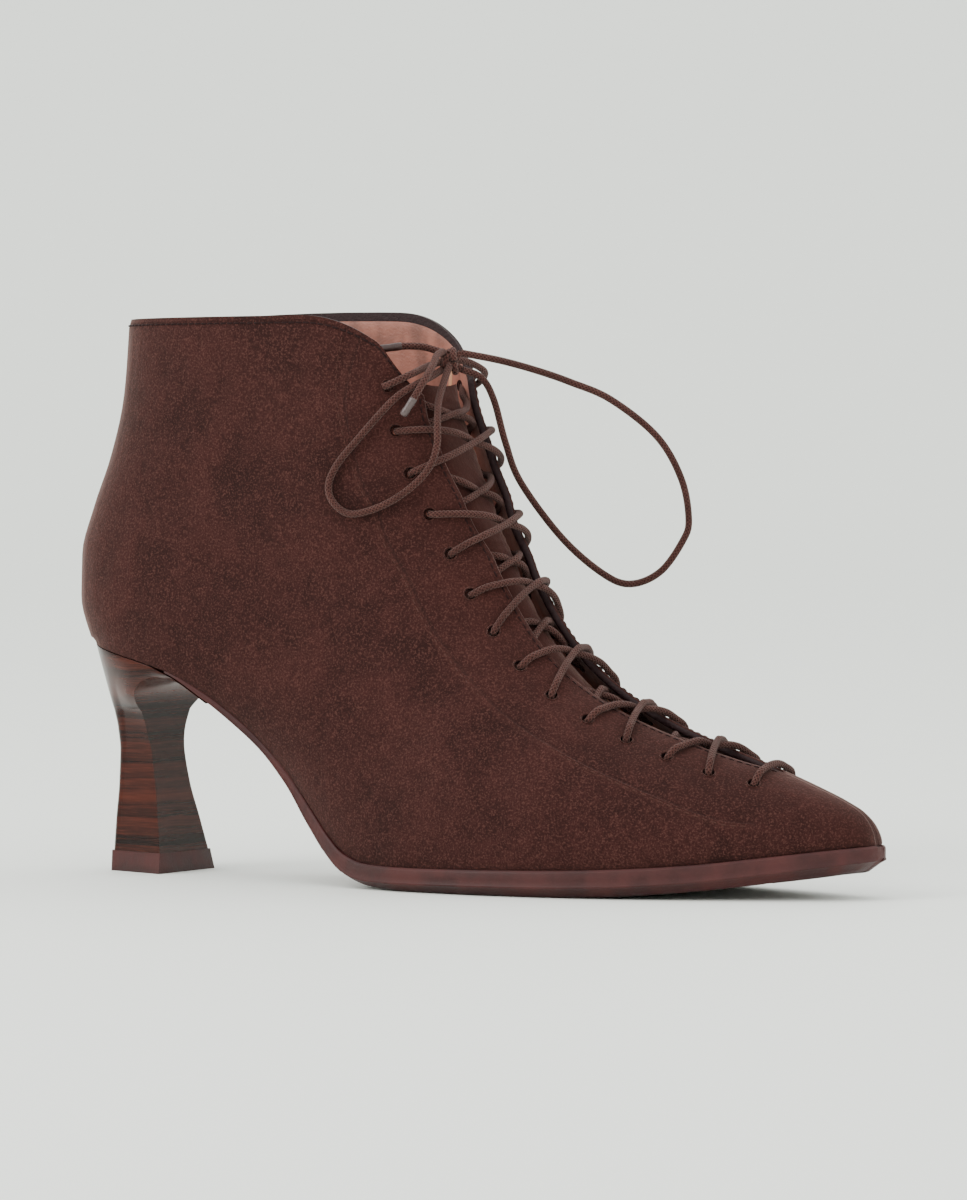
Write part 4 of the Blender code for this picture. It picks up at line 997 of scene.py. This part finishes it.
def lace_run(pair, side, sign):
    """The lace from one hole to the next one across, over or under the quarters."""
    over = pair % 2 == 1
    ends = [(HOLE_ROWS[k], hole_offset(k, where)) for k, where in ((pair, side), (pair + 1, ACROSS[side]))]
    points = [] if pair else [hole_place(pair, side)]
    for t in np.linspace(0.07, 0.93, 11):
        s, y = (a + (b - a) * t for a, b in zip(*ends))
        half = max(1e-4, THROAT_HALF(station(s)["crest_z"]))
        bridge = max(0.0, 1 - (y / half) ** 2)
        lift = math.exp(-((t - 0.5) / CROSS_SPREAD) ** 2) * CROSS_LIFT * sign
        points.append(across_point(s, y, (OVER_INSET + OVER_SINK * bridge if over else UNDER_INSET) - lift))
    return points + [hole_place(pair + 1, ACROSS[side])]


def make_lacing():
    """Both halves of the lace, through the holes from the top to the bar at the toe."""
    last, paths = HOLE_PAIRS - 1, []
    for start, side in enumerate(SIDES):
        points = []
        for pair in range(last):
            points += lace_run(pair, side, 1.0 if (pair + start) % 2 else -1.0)
            side = ACROSS[side]
        paths.append(points)
    bar = [across_point(HOLE_ROWS[last], y, OVER_INSET)
           for y in np.linspace(*(hole_offset(last, side) for side in SIDES), 9)[1:-1]]
    paths.append([hole_place(last, "lateral"), *bar, hole_place(last, "medial")])
    parts = [tube_data(smooth_path(points, LACE_STEP), LACE / 2, 10) for points in paths]
    piece = link("lacing", tubes_mesh("lacing", parts), LACE_LOOK)
    crossings = [f"over_cross_{k}" for k in range(1, 7)] + [f"under_cross_{k}" for k in range(1, 8)]
    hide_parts(*crossings, "toe_bar")
    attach(piece, "root")


def lace_piece(name, points, *nodes):
    """A free stretch of lace."""
    piece = link(name, tubes_mesh(name, [tube_data(points, LACE / 2, 12)]), LACE_LOOK)
    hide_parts(*nodes)
    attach(piece, "root")
    return piece


def aglet_points(name, shares):
    """Points at shares of the way along a lace tip."""
    start, end = (np.array(point) * MM for point in AGLETS[name])
    return [start + (end - start) * share for share in shares]


def make_aglet(name, look):
    """A lace tip with rounded ends and a crimped middle."""
    points = aglet_points(name, (0.0, 0.04, 0.1, 0.3, 0.5, 0.7, 0.9, 0.96, 1.0))
    taper = ((0, 0.75), (1, 0.95), (4, 0.93), (7, 0.9), (8, 0.6))
    piece = link(name + "_tip", tubes_mesh(name, [tube_data(points, AGLET / 2, 14, taper)]), look)
    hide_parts(name)
    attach(piece, "root")
    return piece


def ring_path(centre, normal, high, deep, turn=0.0):
    """Points of an oval ring round a direction."""
    normal = np.array(normal) / np.linalg.norm(normal)
    side = np.cross(normal, (0.0, 0.0, 1.0))
    side /= np.linalg.norm(side)
    up = np.cross(side, normal)
    return [centre + side * math.cos(t + turn) * deep + up * math.sin(t + turn) * high
            for t in np.linspace(0.0, 2 * math.pi * 0.985, 25)]


def by_knot(*shift):
    """A point beside the knot's middle, shifted by millimetres."""
    return (np.array(KNOT_AT) + shift) * MM


def make_bow():
    """The bow: two loops, two ends, the runs from the top holes and the knot."""
    tips = {
        # The near tip's lighter colour is a painted highlight; both are the same tip.
        "near": make_aglet("aglet_near", tip_look("highlit_tip", TIP_HIGHLIT, 0.22)),
        "far": make_aglet("aglet_far", tip_look("dark_tip", TIP_DARK, 0.35)),
    }
    for name, through in (("near", (-1.2, 0.6, 0.6)), ("far", (-1.4, -0.6, 0.8))):
        tie, end = (route(part + name, TIE_STEP) for part in ("tie_", "end_"))
        inside = aglet_points("aglet_" + name, (0.1, 0.3))
        points = smooth_path([*tie[:-1], by_knot(*through), *end, *inside], 0.001)
        piece = lace_piece("lace_end_" + name, points, "tie_" + name, "end_" + name)
    for name in ("loop_near", "loop_far"):
        points = route(name)
        piece = lace_piece("lace_" + name, points, name)
    near, far = route("loop_near"), route("loop_far")
    paths = [
        ring_path(by_knot(0.9, 0.5, -0.1), (0.866, 0.5, 0.12), 0.0030, 0.0024),
        ring_path(by_knot(-1.0, -0.5, 0.2), (0.866, 0.45, -0.35), 0.0024, 0.0021, turn=0.8),
        (near[-1], by_knot(-0.6, 0.6, -0.9), far[0]),
        (near[0], by_knot(0.6, -0.9, -0.2), far[-1]),
    ]
    parts = [tube_data(smooth_path(path, KNOT_STEP), LACE / 2, 12) for path in paths]
    piece = link("knot_wraps", tubes_mesh("knot_wraps", parts), LACE_LOOK)
    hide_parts("knot")
    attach(piece, "root")


def make_tongue():
    """The tongue: suede with a nap, a little uneven where the laces press on it."""
    rows = np.linspace(TONGUE[0][0], TOP_ROW, TONGUE_ROWS)
    grids = []
    for depth, wave in ((0.0, TONGUE_WAVE), (TONGUE_THICK, 0.0)):
        grid = []
        for s in rows:
            drop = TONGUE_CORNER_DROP * ((s - rows[0]) / (TOP_ROW - rows[0])) ** 2
            inset = TONGUE_INSET(s) + depth
            grid.append([across_point(s - drop * t * t, TONGUE_HALF(s) * t,
                                      inset + wave * math.sin(s * 9.0) * math.cos(t * 5.0))
                         for t in np.linspace(-1.0, 1.0, TONGUE_COLUMNS)])
        top = list(zip(grid[-1], (a - b for a, b in zip(grid[-1], grid[-2]))))
        for share in (0.5, 1.0):
            grid.append([a + rise / np.linalg.norm(rise) * TONGUE_RISE * share for a, rise in top])
        grids.append(grid)
    rings = [front + back[::-1] for front, back in zip(*grids)]
    look, base, clouds, nap, specks = suede_look("tongue_suede", 0.6)
    suede = look.finish(base, (clouds, 0.0005), (nap, NAP_DEPTH), (specks, SPECK_DEPTH))
    piece = link("tongue_suede", loft_mesh("tongue_suede", rings, ladder=True), suede)
    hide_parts("tongue")
    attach(piece, "root")


def sole_places():
    """Places along the sole as (x, groove depth), with both sides of each groove."""
    places = [(float(x), 0.0) for x in np.arange(OVAL_FROM + 0.0004, TREAD_START - 0.001, SOLE_STEP)]
    groove = TREAD_START
    while groove < TREAD_END:
        for part, depth in ((0.0, 0.0), (0.08, 0.9), (0.5, 1.0), (0.92, 0.9), (1.0, 0.0)):
            places.append((groove + TREAD_GROOVE * part, TREAD_DEPTH * depth))
        for part in (0.25, 0.5, 0.75):
            places.append((groove + TREAD_GROOVE + (TREAD_PITCH - TREAD_GROOVE) * part, 0.0))
        groove += TREAD_PITCH
    for share in np.linspace(0.0, 1.0, 22)[1:]:
        places.append((groove + (TOE_X - groove) * math.sin(share * math.pi / 2), 0.0))
    return places


def both_sides(half):
    """A closed ring from a function that gives one side's half, listed from the top."""
    return half("lateral") + half("medial")[::-1]


def make_outsole():
    """The rubber sole: top edge, upright side, a moulded line, the bevel and the tread."""
    rings = []
    for x, depth in sole_places():
        top, low, wall, bevel, ledge = (OUTLINE_OF[name](x) for name in OUTLINE_COLUMNS[3:])
        soft = min(SOLE_SOFT, wall * 0.3)
        side_z = top - wall
        profile = [
            (ledge - soft * 3, top + GAP), (ledge - soft, top + GAP * 0.8),
            (ledge - soft * 0.3, top - soft * 0.3), (ledge, top - soft),
            (ledge, top - wall * 0.55), (ledge, side_z + soft),
            (ledge + soft * 0.35, side_z + soft * 0.45), (ledge + soft * 0.25, side_z - soft * 0.35),
            (ledge - bevel * 0.25, side_z + (low - side_z) * 0.28),
            (ledge - bevel * 0.62, side_z + (low - side_z) * 0.66),
            (ledge - bevel * 0.94, low + soft * 0.25), (ledge - bevel - soft, low + depth * 0.9),
            (ledge - bevel - soft * 3, low + depth),
        ]
        rings.append(both_sides(lambda side: [(*edge_point(side, x, out), z) for out, z in profile]))
    piece = link("rubber_sole", loft_mesh("rubber_sole", rings), RUBBER_LOOK)
    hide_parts("outsole")
    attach(piece, "root")


# The board's inset, the x of its sections, and its edge as distances inwards and upwards.
INSOLE_INSET = WALL + 0.0008
INSOLE_XS = np.concatenate([np.linspace(-0.1148, -0.100, 12), np.linspace(-0.098, 0.1196, 70)])
INSOLE_EDGE = ((0.0, 0.0), (0.0, 0.0011), (0.0005, 0.0016), (0.003, 0.0019))


def make_insole():
    """The leather board inside, with a soft edge."""
    def half(side):
        places = [edge_point(side, x, -INSOLE_INSET - inwards) for inwards, _ in INSOLE_EDGE]
        return [(*place, OUTLINE_OF["bottom"](place[0]) + GAP * 2 + up)
                for place, (_, up) in zip(places, INSOLE_EDGE)]

    rings = []
    for x in INSOLE_XS:
        rings.append(both_sides(half))
    piece = link("insole_board", loft_mesh("insole_board", rings), lining_look("insole_leather", INSOLE_TAN))
    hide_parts("insole")
    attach(piece, "root")


FLANK_STEPS, BREAST_STEPS, STEM_STEPS, FLARE_STEPS, LIFT_STEPS = 40, 10, 44, 30, 12
LIFT_GAP = 0.00002


def heel_half_section(row):
    """Half a level section in plan, from the middle of its back to its front corner."""
    front_x, front_half, back_x, back_half, corner = row[1:]
    path = [(back_x + corner * (1 - math.cos(t) ** HEEL_SQUARE), back_half * math.sin(t) ** HEEL_SQUARE)
            for t in np.linspace(0.0, math.pi / 2, 25)]
    return np.array([*path, (front_x, front_half)]) * MM


def heel_seat_half(side):
    """Half of the heel's seat in plan, on the feather line up to its thin lip."""
    back = [OVAL_FROM - (OVAL_FROM - BACK_X) * max(0.0, math.cos(turn)) ** (2 / OVAL_POWER)
            for turn in np.linspace(0.0, math.pi / 2, 25)]
    front = np.linspace(OVAL_FROM, HEEL_LIP_FRONT, 8)[1:]
    return np.array([(x, feather(side, x)) for x in (*back, *front)])


def seat_height(x):
    """Top of the heel: under the upper at the back, and under the sole in front."""
    share = min(1.0, max(0.0, (x - SEAT_FLUSH_X) / (OVAL_FROM - SEAT_FLUSH_X)))
    bottom = OUTLINE_OF["bottom"](x)
    return bottom + (OUTLINE_OF["tread"](x) - GAP * 1.2 - bottom) * share


def flank_plan(path):
    """A half section's flank in plan, as evenly spaced points."""
    run = running_length(path)
    shares = (np.arange(FLANK_STEPS + 1) + 0.35) / (FLANK_STEPS + 0.35)
    return at_marks(path, run, shares * run[-1])


def full_ring(lateral, medial):
    """A closed ring from its two half flanks, both listed from the back."""
    halves = []
    shares = [0.04] + [k / (BREAST_STEPS + 0.5) for k in range(1, BREAST_STEPS + 1)]
    for flank in (lateral, medial):
        front_x, front_half, front_z = flank[-1]
        halves.append(flank + [(front_x, front_half * (1 - share), front_z) for share in shares])
    return [(x, -y, z) for x, y, z in halves[0]] + halves[1][::-1]


def level_rings(table, steps):
    """Level sections, read from smooth curves through a table's rows."""
    curves = [Curve(column(table, 0), column(table, i), 1.0, 1.0) for i in range(len(table[0]))]
    return [[(x, y, z * MM) for x, y in flank_plan(heel_half_section([curve(z) for curve in curves]))]
            for z in np.linspace(table[0][0], table[-1][0], steps)]


def flare_flank(low, seat, rise):
    """The flank part of the way from the stem to the seat."""
    flank = []
    for k, ((low_x, low_y, low_z), (seat_x, seat_y)) in enumerate(zip(low, seat)):
        front = (k / FLANK_STEPS) ** 2
        forward = rise ** (1 + FLARE_FORWARD * front)
        up, out = (1 - (1 - rise) ** (1 + flare * front) for flare in (FLARE_RISE, FLARE_WIDEN))
        x = low_x + (seat_x - low_x) * forward
        flank.append((x, low_y + (seat_y - low_y) * out, low_z + (seat_height(x) - low_z) * up))
    return flank


def make_heel():
    """The polished heel block and the rubber lift under it."""
    stems = level_rings(HEEL, STEM_STEPS)
    seats = [flank_plan(heel_seat_half(side)) for side in SIDES]
    rings = [full_ring(flank, flank) for flank in stems]
    for rise in np.arange(1, FLARE_STEPS + 1) / FLARE_STEPS:
        rings.append(full_ring(*(flare_flank(stems[-1], seat, rise) for seat in seats)))
    piece = link("heel_block", loft_mesh("heel_block", rings, ladder=True), heel_look())
    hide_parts("heel")
    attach(piece, "root")
    lift = level_rings(LIFT, LIFT_STEPS)
    lift[-1] = [(x, y, HEEL[0][0] * MM - LIFT_GAP) for x, y, _ in lift[-1]]
    rings = [full_ring(flank, flank) for flank in lift]
    piece = link("rubber_lift", loft_mesh("rubber_lift", rings, ladder=True), RUBBER_LOOK)
    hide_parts("heel_lift")
    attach(piece, "root")


# The studio: its floor, its pale surroundings, and its lamps as name, place, size, power and colour.
BOOT_MIDDLE = (0.0, 0.0, 0.07)
FLOOR_FLAT, FLOOR_BEND, FLOOR_TURNS = 3.6, 1.6, 96
WORLD_COLOUR, WORLD_STRENGTH = (0.96, 0.98, 0.95, 1), 1.9
LAMPS = (
    ("key", (-0.7, -1.3, 1.1), 0.9, 16.0, (1.0, 0.98, 0.95)),
    ("toe_side", (1.3, -0.5, 0.8), 0.6, 1.5, (1.0, 1.0, 1.0)),
    ("top", (0.0, 0.2, 1.6), 1.2, 1.5, (1.0, 1.0, 1.0)),
)


def area_light(name, place, size, power, colour):
    """A square soft box that points at the boot."""
    data = bpy.data.lights.new(name, "AREA")
    data.shape, data.size, data.size_y = "RECTANGLE", size, size
    data.energy, data.color = power, colour
    lamp = bpy.data.objects.new(name, data)
    lamp.location = place
    lamp.rotation_euler = (Vector(BOOT_MIDDLE) - Vector(place)).to_track_quat("-Z", "Y").to_euler()
    bpy.context.scene.collection.objects.link(lamp)


def make_studio():
    """A pale floor that curves up into a wall all round, pale light and soft boxes."""
    profile = [(FLOOR_FLAT / 2, 0.0), (FLOOR_FLAT, 0.0)]
    for t in np.linspace(0.05, math.pi / 2, 20):
        profile.append((FLOOR_FLAT + FLOOR_BEND * math.sin(t), FLOOR_BEND * (1 - math.cos(t))))
    turns = np.linspace(0.0, 2 * math.pi, FLOOR_TURNS, endpoint=False)
    points = [(r * math.cos(t), r * math.sin(t), z) for r, z in profile for t in turns]
    walls = [face[::-1] for face in ring_faces(len(profile), len(turns))]
    mesh = bpy.data.meshes.new("floor")
    mesh.from_pydata(points, [], [tuple(range(len(turns)))] + walls)
    mesh.shade_smooth()
    paint = grained_look("pale_floor", FLOOR_LOW, FLOOR_HIGH, (0.05,),
                         Roughness=0.7, Specular_IOR_Level=0.2)
    link("floor", mesh, paint)
    world = bpy.data.worlds.new("pale_world")
    world.use_nodes = True
    background = world.node_tree.nodes["Background"]
    background.inputs["Color"].default_value = WORLD_COLOUR
    background.inputs["Strength"].default_value = WORLD_STRENGTH
    bpy.context.scene.world = world
    for lamp in LAMPS:
        area_light(*lamp)


make_camera()
LACE_LOOK = lace_look()
RUBBER_LOOK = rubber_look()
make_bow()
make_lacing()
make_upper()
make_hole_rims()
make_stitches()
make_tongue()
make_insole()
make_outsole()
make_heel()
make_studio()
